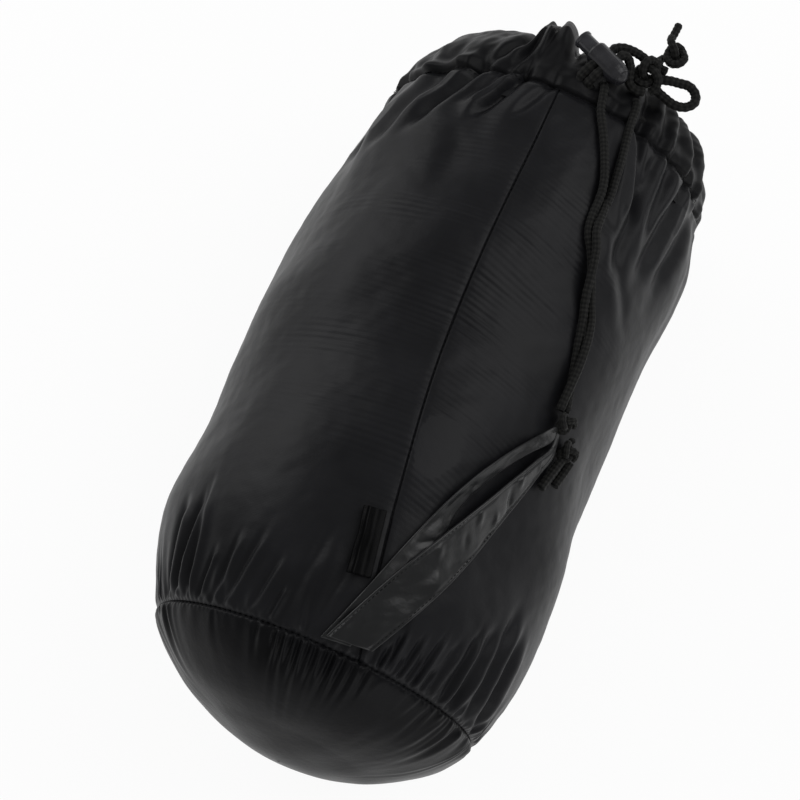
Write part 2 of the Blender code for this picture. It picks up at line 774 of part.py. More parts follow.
def label_loop(frame):
    """A folded tab, both ends in the seam and its fold to the side."""
    bend = LABEL_FOLD + LABEL_THICKNESS / 2 - LABEL_REACH
    path = [((0.0, LABEL_THICKNESS + GAP), (0.0, 1.0))]
    for k in range(LABEL_ROUND + 1):
        angle = math.pi / 2 + math.pi * k / LABEL_ROUND
        out = (math.cos(angle), math.sin(angle))
        path.append(((bend + LABEL_FOLD * out[0], LABEL_FOLD + LABEL_FOLD * out[1]), out))
    path.append(((0.0, 0.0), (0.0, -1.0)))
    sections = []
    for (x, z), (out_x, out_z) in path:
        corners = ((0.5, -0.5), (0.5, 0.5), (-0.5, 0.5), (-0.5, -0.5))
        sections.append([
            Vector((x + side * LABEL_THICKNESS * out_x, end * LABEL_LENGTH, z + side * LABEL_THICKNESS * out_z))
            for side, end in corners
        ])
    label = bar("label_loop", sections, satin())
    label.parent = frame
    label.matrix_local = label_matrix()
    return label


# ---------------------------------------------------------------- cord lock

def lock_matrix(shift=0.0):
    """The lock's frame: Z along the barrel from its shoulder to its tip, X along its cord hole."""
    shoulder, tip = at_mouth(LOCK_SHOULDER, LOCK_TIP)
    axis = (tip - shoulder).normalized()
    hole = Vector((0, 0, 1)).cross(axis).normalized()
    side = axis.cross(hole)
    frame = Matrix((hole, side, axis)).transposed().to_4x4()
    frame.translation = shoulder + hole * shift
    return frame


def lock_cord_point(which, distance):
    """A point on a cord's line through the lock: which is -1 or 1, distance is along the hole."""
    local = Vector((distance * MM, 0, CORD_MIDDLE + which * CORD_PITCH / 2))
    return lock_matrix() @ local


def slot_half_width():
    return DRAWCORD / 2 + CORD_CLEARANCE


def slot_span():
    half = CORD_PITCH / 2 + DRAWCORD / 2 + CORD_CLEARANCE
    return CORD_MIDDLE - half, CORD_MIDDLE + half


def lock_barrel(frame):
    bore = BARREL_RADIUS - BARREL_WALL
    profile = [(0.0, BARREL_LENGTH)]
    for k in range(1, 7):
        angle = math.pi / 2 * k / 6
        height = BARREL_LENGTH - BARREL_NOSE * (1 - math.cos(angle))
        profile.append((BARREL_RADIUS * math.sin(angle) ** 0.8, height))
    profile.append((BARREL_RADIUS, 1.2 * BARREL_EDGE))
    profile.append((BARREL_RADIUS - 0.5 * BARREL_EDGE, 0.2 * BARREL_EDGE))
    profile.append((BARREL_RADIUS - BARREL_EDGE, 0.0))
    profile.append((bore, 0.0))
    profile.append((bore, BARREL_LENGTH - BARREL_END))
    profile.append((0.0, BARREL_LENGTH - BARREL_END))
    barrel = turned("lock_barrel", profile, moulded())
    low, high = slot_span()
    cutter = slot_cutter("barrel_slot_guide", slot_half_width(), low, high, 2 * BARREL_RADIUS)
    cut(barrel, cutter)
    for item in (barrel, cutter):
        item.parent = frame
        item.matrix_local = lock_matrix()
    return barrel


def lock_plunger(frame):
    radius = BARREL_RADIUS - BARREL_WALL - LOCK_CLEARANCE
    rim = radius + PLUNGER_RIM
    profile = [
        (0.0, PLUNGER_INNER_END),
        (radius - PLUNGER_EDGE, PLUNGER_INNER_END),
        (radius, PLUNGER_INNER_END - PLUNGER_EDGE),
        (radius, PLUNGER_BAND - PLUNGER_REACH),
        (rim, PLUNGER_BAND - PLUNGER_EDGE - PLUNGER_REACH),
        (rim, PLUNGER_EDGE - PLUNGER_REACH),
        (rim - PLUNGER_EDGE, -PLUNGER_REACH),
        (radius - 2 * PLUNGER_DISH, -PLUNGER_REACH),
        (radius - 3 * PLUNGER_DISH, PLUNGER_DISH - PLUNGER_REACH),
        (0.0, PLUNGER_DISH - PLUNGER_REACH),
    ]
    plunger = turned("lock_plunger", profile, plunger_plastic())
    low, high = slot_span()
    cutter = slot_cutter("plunger_slot_guide", slot_half_width(), low - PRESS_TRAVEL, high, 2 * radius)
    cut(plunger, cutter)
    for item in (plunger, cutter):
        item.parent = frame
        item.matrix_local = lock_matrix()
    return plunger


def lock_spring(frame):
    """The coil between the plunger's end and the barrel's floor."""
    start = PLUNGER_INNER_END + GAP + SPRING_WIRE / 2
    end = BARREL_LENGTH - BARREL_END - GAP - SPRING_WIRE / 2
    points = []
    steps = int(SPRING_TURNS * 9)
    for k in range(steps + 1):
        angle = math.tau * SPRING_TURNS * k / steps
        height = start + (end - start) * k / steps
        points.append((SPRING_RADIUS * math.cos(angle), SPRING_RADIUS * math.sin(angle), height))
    spring = tube("lock_spring", points, SPRING_WIRE, spring_steel())
    spring.data.bevel_resolution = 1
    spring.parent = frame
    spring.matrix_local = lock_matrix()
    pitch = (end - start) / SPRING_TURNS
    print("lock_spring least gap between coils (mm):", round((pitch - SPRING_WIRE) / MM, 2))
    return spring


# ---------------------------------------------------------------- drawcord

def channel_point(x, y):
    """A point of the drawcord inside the hem, across the sack and along from the stitch line."""
    along = BODY_LENGTH + y * MM
    radius = skin_radius(along) - CHANNEL_RUN_DEPTH
    turn = math.asin((x * MM - sway(along)) / radius)
    return around(along, radius, turn)


def drawcord_in_casing(frame, left_end, right_end):
    """The run round the mouth, inside the hem, from one side of the buttonhole to the other."""
    radius = skin_radius(CHANNEL_RUN_Y) - CHANNEL_RUN_DEPTH
    middle = sway(CHANNEL_RUN_Y)
    first = math.asin((right_end.x - middle) / radius) + CORD_END_GAP / radius
    last = math.tau + math.asin((left_end.x - middle) / radius) - CORD_END_GAP / radius
    points = []
    for k in range(61):
        turn = first + (last - first) * k / 60
        dent = floor_dent(HEM_RADIUS, turn)
        points.append(around(CHANNEL_RUN_Y, radius - dent, turn))
    return place(tube("drawcord_in_casing", points, DRAWCORD, braid()), frame)


def lead_route(which, in_hem, rise, lead):
    """One end of the drawcord, from the hem up through the lock and on to the bow."""
    route = [channel_point(*point) for point in in_hem]
    for distance, drop in rise:
        route.append(lock_cord_point(which, distance) + Vector((0, 0, drop * MM)))
    return route + at_mouth(*lead)


def knot(name, points, diameter):
    print(name, "least gap to itself (mm):", round(self_gap(points, diameter) / MM, 2))
    return tube(name, evenly(points, KNOT_STEP * diameter), diameter, braid())


def build_bow(frame):
    """The bow tied in the slack: two leads in, one loop, and a tail that ends in a stopper."""
    step = BEND_STEP * DRAWCORD
    tied = DRAWCORD * KNOT_SQUEEZE
    bow = knot_points(at_mouth(BOW_CENTRE)[0], BOW_RUN, BOW_SIDE, tied, BOW_LEAD)
    place(knot("bow_knot", bow, tied), frame)
    upper = lead_route(-1, UPPER_IN_HEM, UPPER_RISE, UPPER_LEAD)
    lower = lead_route(1, LOWER_IN_HEM, LOWER_RISE, LOWER_LEAD)
    routes = (
        ("drawcord_lead_upper", upper), ("drawcord_lead_lower", lower),
        ("bow_loop", at_mouth(*BOW_LOOP)),
    )
    for name, route in routes:
        points = clear_of(smooth_route(route, FINE_STEP), DRAWCORD, (bow, tied))
        place(tube(name, evenly(points, step), DRAWCORD, braid()), frame)
    stopper = knot_points(at_mouth(STOPPER_CENTRE)[0], STOPPER_RUN, STOPPER_SIDE, tied, STOPPER_LEAD)
    ends = [[tuple(point) for point in at_mouth(*end)] for end in (STOPPER_NECK, STOPPER_TIP)]
    tail = smooth_route(np.array([*ends[0], *evenly(stopper, tied), *ends[1]]), FINE_STEP)
    place(knot("stopper_tail", clear_of(tail, tied, (bow, tied)), tied), frame)
    return upper[0], lower[0]


# ---------------------------------------------------------------- carry cord

def carry_pair():
    """The two strands of the carry cord where they run together, laid round each other."""
    join = BODY_LENGTH / MM + CARRY_JOIN
    places = [on_skin(arc, blend(CARRY_TIP, join, share), lift) for arc, share, lift in CARRY_ROUTE]
    route = smooth_route(places, RUN_STEP * CARRY_CORD)
    lanes = ([], [])
    for k, point in enumerate(route):
        ahead = Vector(route[min(k + 1, len(route) - 1)]) - Vector(route[max(k - 1, 0)])
        centre = Vector(point)
        off = Vector((centre.x - sway(centre.y), 0, centre.z - axis_height())).normalized()
        across = off.cross(ahead).normalized()
        angle = math.tau * CARRY_TWISTS * k / (len(route) - 1)
        half = CARRY_CORD / 2 + GAP
        lift = half * abs(math.sin(angle))
        for lane, side in zip(lanes, (-1, 1)):
            turn = across * math.cos(angle) + off * math.sin(angle)
            lane.append(centre + off * lift + turn * side * half)
    return lanes


def carry_knots():
    """The points of both knots at the handle's tip."""
    knots = []
    for name, centre, along, lead in CARRY_KNOTS:
        middle = on_skin(*centre)
        ahead = on_skin(centre[0] + along[0], centre[1] + along[1], centre[2]) - middle
        off = Vector((middle.x - sway(middle.y), 0, middle.z - axis_height()))
        knots.append((name, knot_points(middle, ahead, off.cross(ahead), CARRY_CORD * CARRY_SQUEEZE, lead)))
    return knots


def build_carry_cord(frame, hinge):
    step = BEND_STEP * CARRY_CORD
    tied = CARRY_CORD * CARRY_SQUEEZE
    knots = carry_knots()
    solid = [(points, tied) for _, points in knots]
    for name, lane in zip(("carry_cord_left", "carry_cord_right"), carry_pair()):
        points = clear_of(evenly(np.array([tuple(p) for p in lane]), FINE_STEP), CARRY_CORD, *solid)
        place(tube(name, evenly(points, RUN_STEP * CARRY_CORD), CARRY_CORD, braid()), frame, hinge)
    tops = []
    for name, route in (("carry_cord_left_top", CARRY_LEFT_TOP), ("carry_cord_right_top", CARRY_RIGHT_TOP)):
        points = smooth_route(by_mouth(*route), FINE_STEP)
        tops.append((points, CARRY_CORD))
        place(tube(name, evenly(points, step), CARRY_CORD, braid()), frame)
    bight = smooth_route(by_mouth(*CARRY_BIGHT), FINE_STEP)
    bight = evenly(clear_of(bight, CARRY_CORD, *tops), step)
    place(tube("carry_cord_bight", bight, CARRY_CORD, braid()), frame)
    for name, points in knots:
        place(knot(name, points, tied), frame, hinge)
    for name, route in CARRY_TAILS:
        points = smooth_route([on_skin(*point) for point in route], FINE_STEP)
        points = evenly(clear_of(points, CARRY_CORD, *solid), step)
        place(tube(name, points, CARRY_CORD, braid()), frame, hinge)


def main():
    clear_scene()
    frame = bpy.data.objects.new("sack_frame", None)
    bpy.context.scene.collection.objects.link(frame)
    middle_y = (BODY_LENGTH + max(p[0] for p in HEM_PATH) * MM - DOME_DEPTH) / 2
    frame.location = (-sway(SWAY_MIDDLE), -middle_y, 0.0)
    hinge = on_skin(*HINGE_ROOT)
    body_panel(frame)
    base_panel(frame)
    stuffed_filling(frame)
    drawcord_casing(frame)
    carry_strap(frame, hinge)
    label_loop(frame)
    lock_barrel(frame)
    lock_plunger(frame)
    lock_spring(frame)
    drawcord_in_casing(frame, *build_bow(frame))
    build_carry_cord(frame, hinge)


main()
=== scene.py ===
"""A drawstring stuff sack, packed full: cloth with its gathers, braided cords, strap, label and stitches.

Shapes are worked out in the sack's own frame in millimetres, as in the solid model: y runs from the
base seam to the mouth, "turn" is the angle round from the top line towards +X, "arc" is the same
place as a length on the skin and "lift" is the height over it.
"""

from math import asin, cos, degrees, exp, pi, radians, sin, sqrt, tau

import bpy
import numpy as np
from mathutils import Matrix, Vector

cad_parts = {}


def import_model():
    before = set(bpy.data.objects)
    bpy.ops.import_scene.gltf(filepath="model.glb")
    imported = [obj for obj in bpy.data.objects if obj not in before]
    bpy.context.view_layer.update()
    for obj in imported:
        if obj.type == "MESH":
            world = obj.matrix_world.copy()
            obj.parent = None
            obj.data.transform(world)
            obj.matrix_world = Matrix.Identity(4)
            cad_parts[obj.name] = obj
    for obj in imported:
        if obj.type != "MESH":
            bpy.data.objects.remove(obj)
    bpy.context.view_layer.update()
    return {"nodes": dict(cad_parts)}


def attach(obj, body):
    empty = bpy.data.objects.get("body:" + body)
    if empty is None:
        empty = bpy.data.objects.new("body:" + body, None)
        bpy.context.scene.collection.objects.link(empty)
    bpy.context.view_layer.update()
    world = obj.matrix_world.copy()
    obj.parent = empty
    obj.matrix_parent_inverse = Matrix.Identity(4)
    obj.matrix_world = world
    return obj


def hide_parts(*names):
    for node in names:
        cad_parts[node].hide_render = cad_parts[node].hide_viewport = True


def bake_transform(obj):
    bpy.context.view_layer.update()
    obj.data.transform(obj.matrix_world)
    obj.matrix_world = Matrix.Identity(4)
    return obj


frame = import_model()

MM = 0.001
SHIFT = np.array((1.6, -152.3, 0.0))  # from the sack's own frame to the shared one
AXIS_HEIGHT = 89.5
BODY_RADIUS, BASE_RADIUS, HEM_RADIUS, LENGTH, DOME = 99.5, 85.0, 91.0, 308.0, 44.0
BASE_TAPER, MOUTH_TAPER = 60.0, 103.0
SEAM_DEGREES = 10.0
# Profile of the hem, outside and inside: steps past the mouth's seam, and drops under its radius
HEM_OUTER = ((0.4, 0.5), (6.0, 1.0), (14.0, 2.4), (23.0, 5.2), (31.0, 9.8), (37.0, 15.4), (40.6, 19.8))
HEM_INNER = ((39.6, 22.2), (31.0, 20.6), (23.0, 16.8), (14.0, 12.8), (6.0, 8.2), (1.6, 3.6))
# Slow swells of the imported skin: wave numbers across, along and up, and the start of each
SWELL_HEIGHT = 0.7
SWELLS = (
    (0.052, 0.031, -0.027, 0.4), (-0.034, 0.050, 0.022, 2.1), (0.018, -0.062, 0.038, 4.4),
    (0.066, 0.012, 0.020, 1.3), (-0.012, 0.036, 0.058, 5.2), (0.041, -0.044, -0.036, 3.0),
    (-0.058, -0.022, 0.046, 0.9),
)
# Main folds at the mouth: degrees round the sack, and depth
FOLD_WIDTH, FOLD_REACH = 9.0, 46.0
FOLDS = (
    (-103, 3.2), (-70, 2.8), (-37, 3.6), (-17, 2.6), (44, 2.6), (63, 3), (86, 3), (116, 3), (150, 2.6),
    (196, 2.6), (228, 3),
)


# ---------------- shape of the sack

def sway(y):
    """How far to the side the sack's middle line lies."""
    return 2.1 - 3.7 * np.cos(tau * (y - 140.0) / 360.0)


def skin_radius(y):
    """Distance of the plain skin from the middle line, for the dome, the body and the hem."""
    y = np.asarray(y, dtype=float)
    base = np.clip(1 - y / BASE_TAPER, 0, 1)
    mouth = np.clip((y - LENGTH + MOUTH_TAPER) / MOUTH_TAPER, 0, 1)
    body = BODY_RADIUS - (BODY_RADIUS - BASE_RADIUS) * base ** 2.1 - (BODY_RADIUS - HEM_RADIUS) * mouth ** 2
    dome = BASE_RADIUS * (1 - np.clip(-y / DOME, 0, 1) ** 1.6) ** 0.55
    steps = np.array([LENGTH + s for s, _ in HEM_OUTER])
    hem = np.interp(y, steps, [HEM_RADIUS - d for _, d in HEM_OUTER])
    return np.where(y < 0, dome, np.where(y <= LENGTH, body, hem))


def floor_dent(radius, turn):
    """How much the flat floor takes off a radius."""
    down = np.maximum(-np.cos(turn), 1e-6)
    return np.maximum(0.0, radius - AXIS_HEIGHT / down)


def around(turn, y, radius):
    """Points of the sack's frame in millimetres."""
    turn, y, radius = np.broadcast_arrays(turn, y, radius)
    return np.stack([sway(y) + radius * np.sin(turn), y, AXIS_HEIGHT + radius * np.cos(turn)], axis=-1)


def wrapped(angle):
    return (angle + pi) % tau - pi


def bell(off, width):
    return np.exp(-(off / width) ** 2)


def relief(y, turn):
    """Swells and main folds, as the solid body has them."""
    y, turn = np.broadcast_arrays(np.asarray(y, dtype=float), np.asarray(turn, dtype=float))
    across, up = BODY_RADIUS * np.sin(turn), BODY_RADIUS * np.cos(turn)
    waves = sum(np.sin(a * across + b * y + c * up + start) for a, b, c, start in SWELLS)
    from_mouth = np.maximum(LENGTH - y, 0)
    fade = np.clip(y / 80.0, 0, 1) * np.clip(from_mouth / 30.0, 0, 1)
    depth = sum(
        fold * bell(wrapped(turn - radians(place)) * BODY_RADIUS, FOLD_WIDTH) for place, fold in FOLDS
    )
    reach = np.clip(from_mouth / 12.0, 0, 1) * np.exp(-(from_mouth / FOLD_REACH) ** 1.5)
    return SWELL_HEIGHT * fade * waves - depth * reach


def on_skin(arc, y, lift):
    radius = float(skin_radius(y))
    return around(arc / radius, y, radius + float(relief(y, arc / radius)) + lift)


def seam_arc(y):
    """Where the side seam runs."""
    return 27.0 - 0.125 * y + 0.00016 * y * y


def noise(points, seed, low, high, count=24):
    """Smooth noise of about unit size: plane waves of lengths from low to high, in all directions."""
    rng = np.random.default_rng(seed)
    total = np.zeros(points.shape[:-1])
    for _ in range(count):
        way = rng.normal(size=3)
        way /= np.linalg.norm(way)
        wave = rng.uniform(low, high)
        total += np.sin((points @ way) * tau / wave + rng.uniform(0, tau))
    return total * sqrt(2.0 / count)


def gathers(turn, away, seed, count, width, reach, depth, calm=()):
    """Creases that run away from a gathered seam: each has its own width, reach and depth."""
    rng = np.random.default_rng(seed)
    total = np.zeros(np.broadcast(turn, away).shape)
    for k in range(count):
        place = tau * (k + rng.uniform(-0.42, 0.42)) / count - pi
        wide = rng.uniform(*width) / BASE_RADIUS
        far = reach[0] + (reach[1] - reach[0]) * rng.uniform(0, 1) ** 2.2
        deep = rng.uniform(*depth)
        slant = rng.normal(0, 0.08) / BASE_RADIUS
        for low, high, share in calm:
            if low <= degrees(place) <= high:
                deep *= share
        off = wrapped(turn - place - slant * away)
        fade = np.exp(-(away / far) ** 1.5)
        spread = wide * (1 + 0.8 * away / far)
        total -= deep * fade * bell(off, spread)
        total += 0.55 * deep * fade * bell(np.abs(off) - 1.9 * spread, spread)
    return total


def crease(arc, y, a0, y0, a1, y1, width, depth, side):
    """One fold along a line on the skin, deepest in its middle."""
    run = np.array((a1 - a0, y1 - y0))
    length = np.hypot(*run)
    along = ((arc - a0) * run[0] + (y - y0) * run[1]) / length
    off = ((arc - a0) * run[1] - (y - y0) * run[0]) / length
    share = np.clip(along / length, -0.4, 1.4)
    fade = bell(np.maximum(0, np.abs(share - 0.5) - 0.3), 0.26)
    fold = bell(off, width) - side * bell(off - 2.1 * width, 1.3 * width)
    return -depth * fade * fold


def with_creases(push, arc, y, table):
    for line in table:
        push = push + crease(arc, y, *line)
    return push


# ---------------- meshes

def world(points):
    return (np.asarray(points) + SHIFT) * MM


def unit(way):
    return way / np.linalg.norm(way)


def units(rows):
    return rows / np.linalg.norm(rows, axis=1, keepdims=True)


def add_to_scene(name, data):
    item = bpy.data.objects.new(name, data)
    bpy.context.scene.collection.objects.link(item)
    return item


def solid_object(name, points, faces, look, uv=None):
    """A smooth mesh; uv is the place on the flat cloth, as two lengths that go with the points."""
    data = bpy.data.meshes.new(name)
    data.from_pydata(world(points).reshape(-1, 3).tolist(), [], faces)
    if uv is not None:
        layer = data.uv_layers.new(name="cloth")
        loops = np.zeros(len(data.loops), dtype=np.int32)
        data.loops.foreach_get("vertex_index", loops)
        flat = np.stack(np.broadcast_arrays(*uv), axis=-1).reshape(-1, 2) * MM
        layer.data.foreach_set("uv", flat[loops].astype(np.float32).ravel())
    data.materials.append(look)
    data.shade_smooth()
    return add_to_scene(name, data)


def grid_faces(rows, columns, flip=False):
    """Quads between rings of points, each ring closed on itself."""
    row = np.arange(rows - 1)[:, None]
    column = np.arange(columns)[None]
    a = row * columns + column
    b = row * columns + (column + 1) % columns
    quads = np.stack([a, b, b + columns, a + columns], axis=-1).reshape(-1, 4)
    return (quads[:, ::-1] if flip else quads).tolist()


def end_face(rows, columns):
    return [(rows - 1) * columns + k for k in range(columns)]


def tube_faces(rows, columns):
    """The quads of a tube and the faces over its two ends."""
    return [*grid_faces(rows, columns), list(range(columns))[::-1], end_face(rows, columns)]


def round_turns(fine, coarse, low=-75.0, high=95.0):
    """Places round the sack in radians, close together where the photograph looks."""
    count = int((high - low) / fine)
    near = np.linspace(low, high, count, endpoint=False)
    far = np.linspace(high, low + 360.0, int((low + 360.0 - high) / coarse), endpoint=False)
    return np.radians(np.concatenate([near, far]))


def frames_along(points):
    """Two cross directions at each point, carried along the line without twisting."""
    ahead = units(np.gradient(points, axis=0))
    side = np.zeros_like(points)
    side[0] = unit(np.cross(ahead[0], (0.3, 0.5, 0.8)))
    for k in range(1, len(points)):
        side[k] = unit(side[k - 1] - ahead[k] * float(side[k - 1] @ ahead[k]))
    return side, np.cross(ahead, side)


def lengths_along(points):
    return np.concatenate([[0.0], np.cumsum(np.linalg.norm(np.diff(points, axis=0), axis=1))])


def evenly(points, step):
    along = lengths_along(points)
    places = np.linspace(0.0, along[-1], max(2, int(round(along[-1] / step)) + 1))
    return np.stack([np.interp(places, along, points[:, k]) for k in range(3)], axis=1)


def run_length(points):
    return float(np.linalg.norm(np.diff(points, axis=0), axis=1).sum())


def smooth_route(route, step):
    """A smooth line through the places of a route, with a point at every step."""
    points = [np.array(point, dtype=float) for point in route]
    ends = [2 * points[0] - points[1], *points, 2 * points[-1] - points[-2]]
    fine = []
    for a, b, c, d in zip(ends, ends[1:], ends[2:], ends[3:]):
        for t in np.arange(0, 1, 0.05):
            curve = 2 * b + (c - a) * t + (2 * a - 5 * b + 4 * c - d) * t ** 2
            fine.append(0.5 * (curve + (3 * b - a - 3 * c + d) * t ** 3))
    fine.append(points[-1])
    return evenly(np.array(fine), step)


def settle(item, body, node):
    """The piece stands for that node and rides on that body."""
    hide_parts(node)
    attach(item, body)


BRAID_STEP, BRAID_SIDES, BRAID_LOBES = 0.34, 32, 4
BRAID_PITCH = 0.56  # length of one crossing, in diameters


def braid(node, points, diameter, body):
    """A round braided cord in place of a node, with its strands standing proud; returns its line too."""
    points = evenly(points, BRAID_STEP)
    side, up = frames_along(points)
    along = lengths_along(points)[:, None]
    turn = np.linspace(0, tau, BRAID_SIDES, endpoint=False)[None]
    twist = pi / (BRAID_PITCH * diameter)
    weave = np.cos(BRAID_LOBES * turn + twist * along) * np.cos(BRAID_LOBES * turn - twist * along)
    radius = diameter / 2 * (0.955 + 0.095 * weave)
    ring = points[:, None] + radius[..., None] * (
        np.cos(turn)[..., None] * side[:, None] + np.sin(turn)[..., None] * up[:, None]
    )
    name = node.replace("lead_", "") + "_braid"
    item = solid_object(name, ring, tube_faces(len(points), BRAID_SIDES), CORD, (along, turn * diameter / 2))
    # The braid's height, which the cord's look turns into painted shade in the gaps between strands
    shade = item.data.attributes.new("painted_gap_shade", "FLOAT", "POINT")
    shade.data.foreach_set("value", (0.5 + 0.5 * weave).astype(np.float32).ravel())
    settle(item, body, node)
    return item, world(points)


# ---------------- materials

def nodes_for(name):
    made = bpy.data.materials.new(name)
    made.use_nodes = True
    tree = made.node_tree
    return made, tree, tree.nodes["Principled BSDF"]


def link(a, out, b, socket):
    a.id_data.links.new(a.outputs[out], b.inputs[socket])


def set_values(node, **values):
    """Settings and inputs by name, where an underscore in an input's name stands for a space."""
    for key, value in values.items():
        if hasattr(node, key):
            setattr(node, key, value)
        else:
            node.inputs[key.replace("_", " ")].default_value = value
    return node


def add_node(tree, kind, **values):
    return set_values(tree.nodes.new("ShaderNode" + kind), **values)


def math_node(tree, operation, *sources):
    node = add_node(tree, "Math", operation=operation)
    for k, (source, output) in enumerate(sources):
        link(source, output, node, k)
    return node


def noise_node(tree, place, **values):
    node = add_node(tree, "TexNoise", **values)
    link(place, "Object", node, "Vector")
    return node


def colour(tree, shader, source, output, low, high, dark, light):
    """Base colour from dark to light as the source goes from low to high."""
    node = add_node(tree, "ValToRGB")
    for element, position, shade in zip(node.color_ramp.elements, (low, high), (dark, light)):
        element.position = position
        element.color = (*shade, 1.0)
    link(source, output, node, "Fac")
    link(node, "Color", shader, "Base Color")


def gloss(tree, shader, source, low, high):
    """Roughness from low to high with the source."""
    node = add_node(tree, "MapRange", To_Min=low, To_Max=high)
    link(source, "Fac", node, "Value")
    link(node, "Result", shader, "Roughness")


def bump(tree, source, output, strength, distance):
    node = add_node(tree, "Bump", Strength=strength, Distance=distance)
    link(source, output, node, "Height")
    return node


def cloth_look(name, dark, light, rough, specular=0.14, weave=0.00038, crinkle=0.00012, sheen=0.015):
    """Woven cloth: two sets of fine threads, small crinkles, and slow changes of tone and gloss."""
    made, tree, shader = nodes_for(name)
    set_values(shader, Specular_IOR_Level=specular, Sheen_Weight=sheen, Sheen_Roughness=0.4)
    place = add_node(tree, "TexCoord")
    tone = noise_node(tree, place, Scale=34.0, Detail=4.0)
    colour(tree, shader, tone, "Fac", 0.3, 0.72, dark, light)
    gloss(tree, shader, tone, rough - 0.05, rough + 0.06)
    waves = []
    for direction in ("X", "Y"):
        wave = add_node(tree, "TexWave", wave_type="BANDS", bands_direction=direction, Scale=0.157 / weave)
        link(place, "UV", wave, "Vector")
        waves.append((wave, "Fac"))
    threads = math_node(tree, "MAXIMUM", *waves)
    fine = bump(tree, threads, "Value", 0.6, 0.00003)
    wrinkle = noise_node(tree, place, Scale=260.0, Detail=5.0, Roughness=0.55)
    broad = bump(tree, wrinkle, "Fac", 1.0, crinkle)
    link(fine, "Normal", broad, "Normal")
    link(broad, "Normal", shader, "Normal")
    return made


def braid_look(name, dark, light):
    """Braided cord: light strands over gaps darkened with painted shade, with fine fibres along them."""
    made, tree, shader = nodes_for(name)
    set_values(shader, Specular_IOR_Level=0.16, Sheen_Weight=0.03, Roughness=0.72)
    place = add_node(tree, "TexCoord")
    painted_gap_shade = add_node(tree, "Attribute", attribute_name="painted_gap_shade")
    tone = noise_node(tree, place, Scale=900.0, Detail=3.0)
    # Painted shade of the gaps, times a random tone
    both = math_node(tree, "MULTIPLY", (painted_gap_shade, "Fac"), (tone, "Fac"))
    colour(tree, shader, both, "Value", 0.12, 0.48, dark, light)
    fibre = add_node(tree, "TexWave", wave_type="BANDS", bands_direction="DIAGONAL", Scale=700.0, Distortion=2.0)
    link(place, "UV", fibre, "Vector")
    link(bump(tree, fibre, "Fac", 0.5, 0.00008), "Normal", shader, "Normal")
    return made


def plastic_look(name, dark, light, rough):
    """Moulded plastic with a fine grain and slow changes of tone and gloss."""
    made, tree, shader = nodes_for(name)
    set_values(shader, Specular_IOR_Level=0.34)
    place = add_node(tree, "TexCoord")
    tone = noise_node(tree, place, Scale=160.0, Detail=5.0)
    colour(tree, shader, tone, "Fac", 0.35, 0.7, dark, light)
    gloss(tree, shader, tone, rough - 0.06, rough + 0.08)
    grain = noise_node(tree, place, Scale=2600.0, Detail=2.0)
    link(bump(tree, grain, "Fac", 0.35, 0.00004), "Normal", shader, "Normal")
    return made


def steel_look(name):
    made, tree, shader = nodes_for(name)
    set_values(shader, Metallic=1.0, Roughness=0.28)
    tone = add_node(tree, "TexNoise", Scale=900.0)
    colour(tree, shader, tone, "Fac", 0.3, 0.7, (0.42, 0.42, 0.44), (0.6, 0.6, 0.62))
    return made


TAFFETA = cloth_look("taffeta_cloth", (0.0046, 0.0047, 0.0056), (0.0082, 0.0083, 0.0097), 0.40)
# The base panel is the body's taffeta in darker colours: painted shade
BASE_TAFFETA = cloth_look("base_cloth_look", (0.0026, 0.0026, 0.0031), (0.0058, 0.0059, 0.0068), 0.36,
                          specular=0.075)
# The hem is the body's taffeta in darker colours: painted shade
HEM_TAFFETA = cloth_look("hem_cloth_look", (0.0024, 0.0024, 0.0029), (0.0052, 0.0053, 0.0061), 0.44,
                         specular=0.1)
STRAP_TAFFETA = cloth_look("strap_cloth_look", (0.0034, 0.0036, 0.0040), (0.0060, 0.0064, 0.0070), 0.28,
                           specular=0.36, crinkle=0.00022)
FILLING_TAFFETA = cloth_look("filling_cloth_look", (0.007, 0.0072, 0.008), (0.011, 0.0113, 0.0125), 0.55)
LABEL_SATIN = cloth_look("label_look", (0.0008, 0.0008, 0.0010), (0.0014, 0.0014, 0.0017), 0.22,
                         specular=0.05, weave=0.00025, crinkle=0.00006, sheen=0.0)
THREAD = cloth_look("thread_look", (0.0030, 0.0030, 0.0034), (0.0060, 0.0060, 0.0066), 0.6, specular=0.1)
CORD = braid_look("braid_look", (0.0012, 0.0012, 0.0012), (0.0120, 0.0119, 0.0108))
BARREL = plastic_look("barrel_look", (0.010, 0.010, 0.012), (0.018, 0.018, 0.021), 0.32)
PLUNGER = plastic_look("plunger_look", (0.018, 0.018, 0.021), (0.030, 0.031, 0.035), 0.22)
SPRING = steel_look("spring_look")


# ---------------- camera

def make_camera():
    """Stands where the outline of the sack places it."""
    azimuth, elevation, distance = radians(22.87), radians(68.53), 950.0
    focal_pixels, picture_pixels, sensor = 1807.5, 800, 36
    back = np.array((
        sin(azimuth) * cos(elevation), -cos(azimuth) * cos(elevation), sin(elevation),
    ))
    target = np.array((-13.14, 153.4, 89.5))
    data = bpy.data.cameras.new("photo_camera")
    data.lens = focal_pixels / picture_pixels * sensor
    data.sensor_width = sensor
    data.clip_start = 0.01
    camera = add_to_scene("photo_camera", data)
    camera.location = Vector(world(target + distance * back).tolist())
    camera.rotation_euler = Vector(back.tolist()).to_track_quat("Z", "Y").to_euler()
    bpy.context.scene.camera = camera


make_camera()


# ---------------- cords

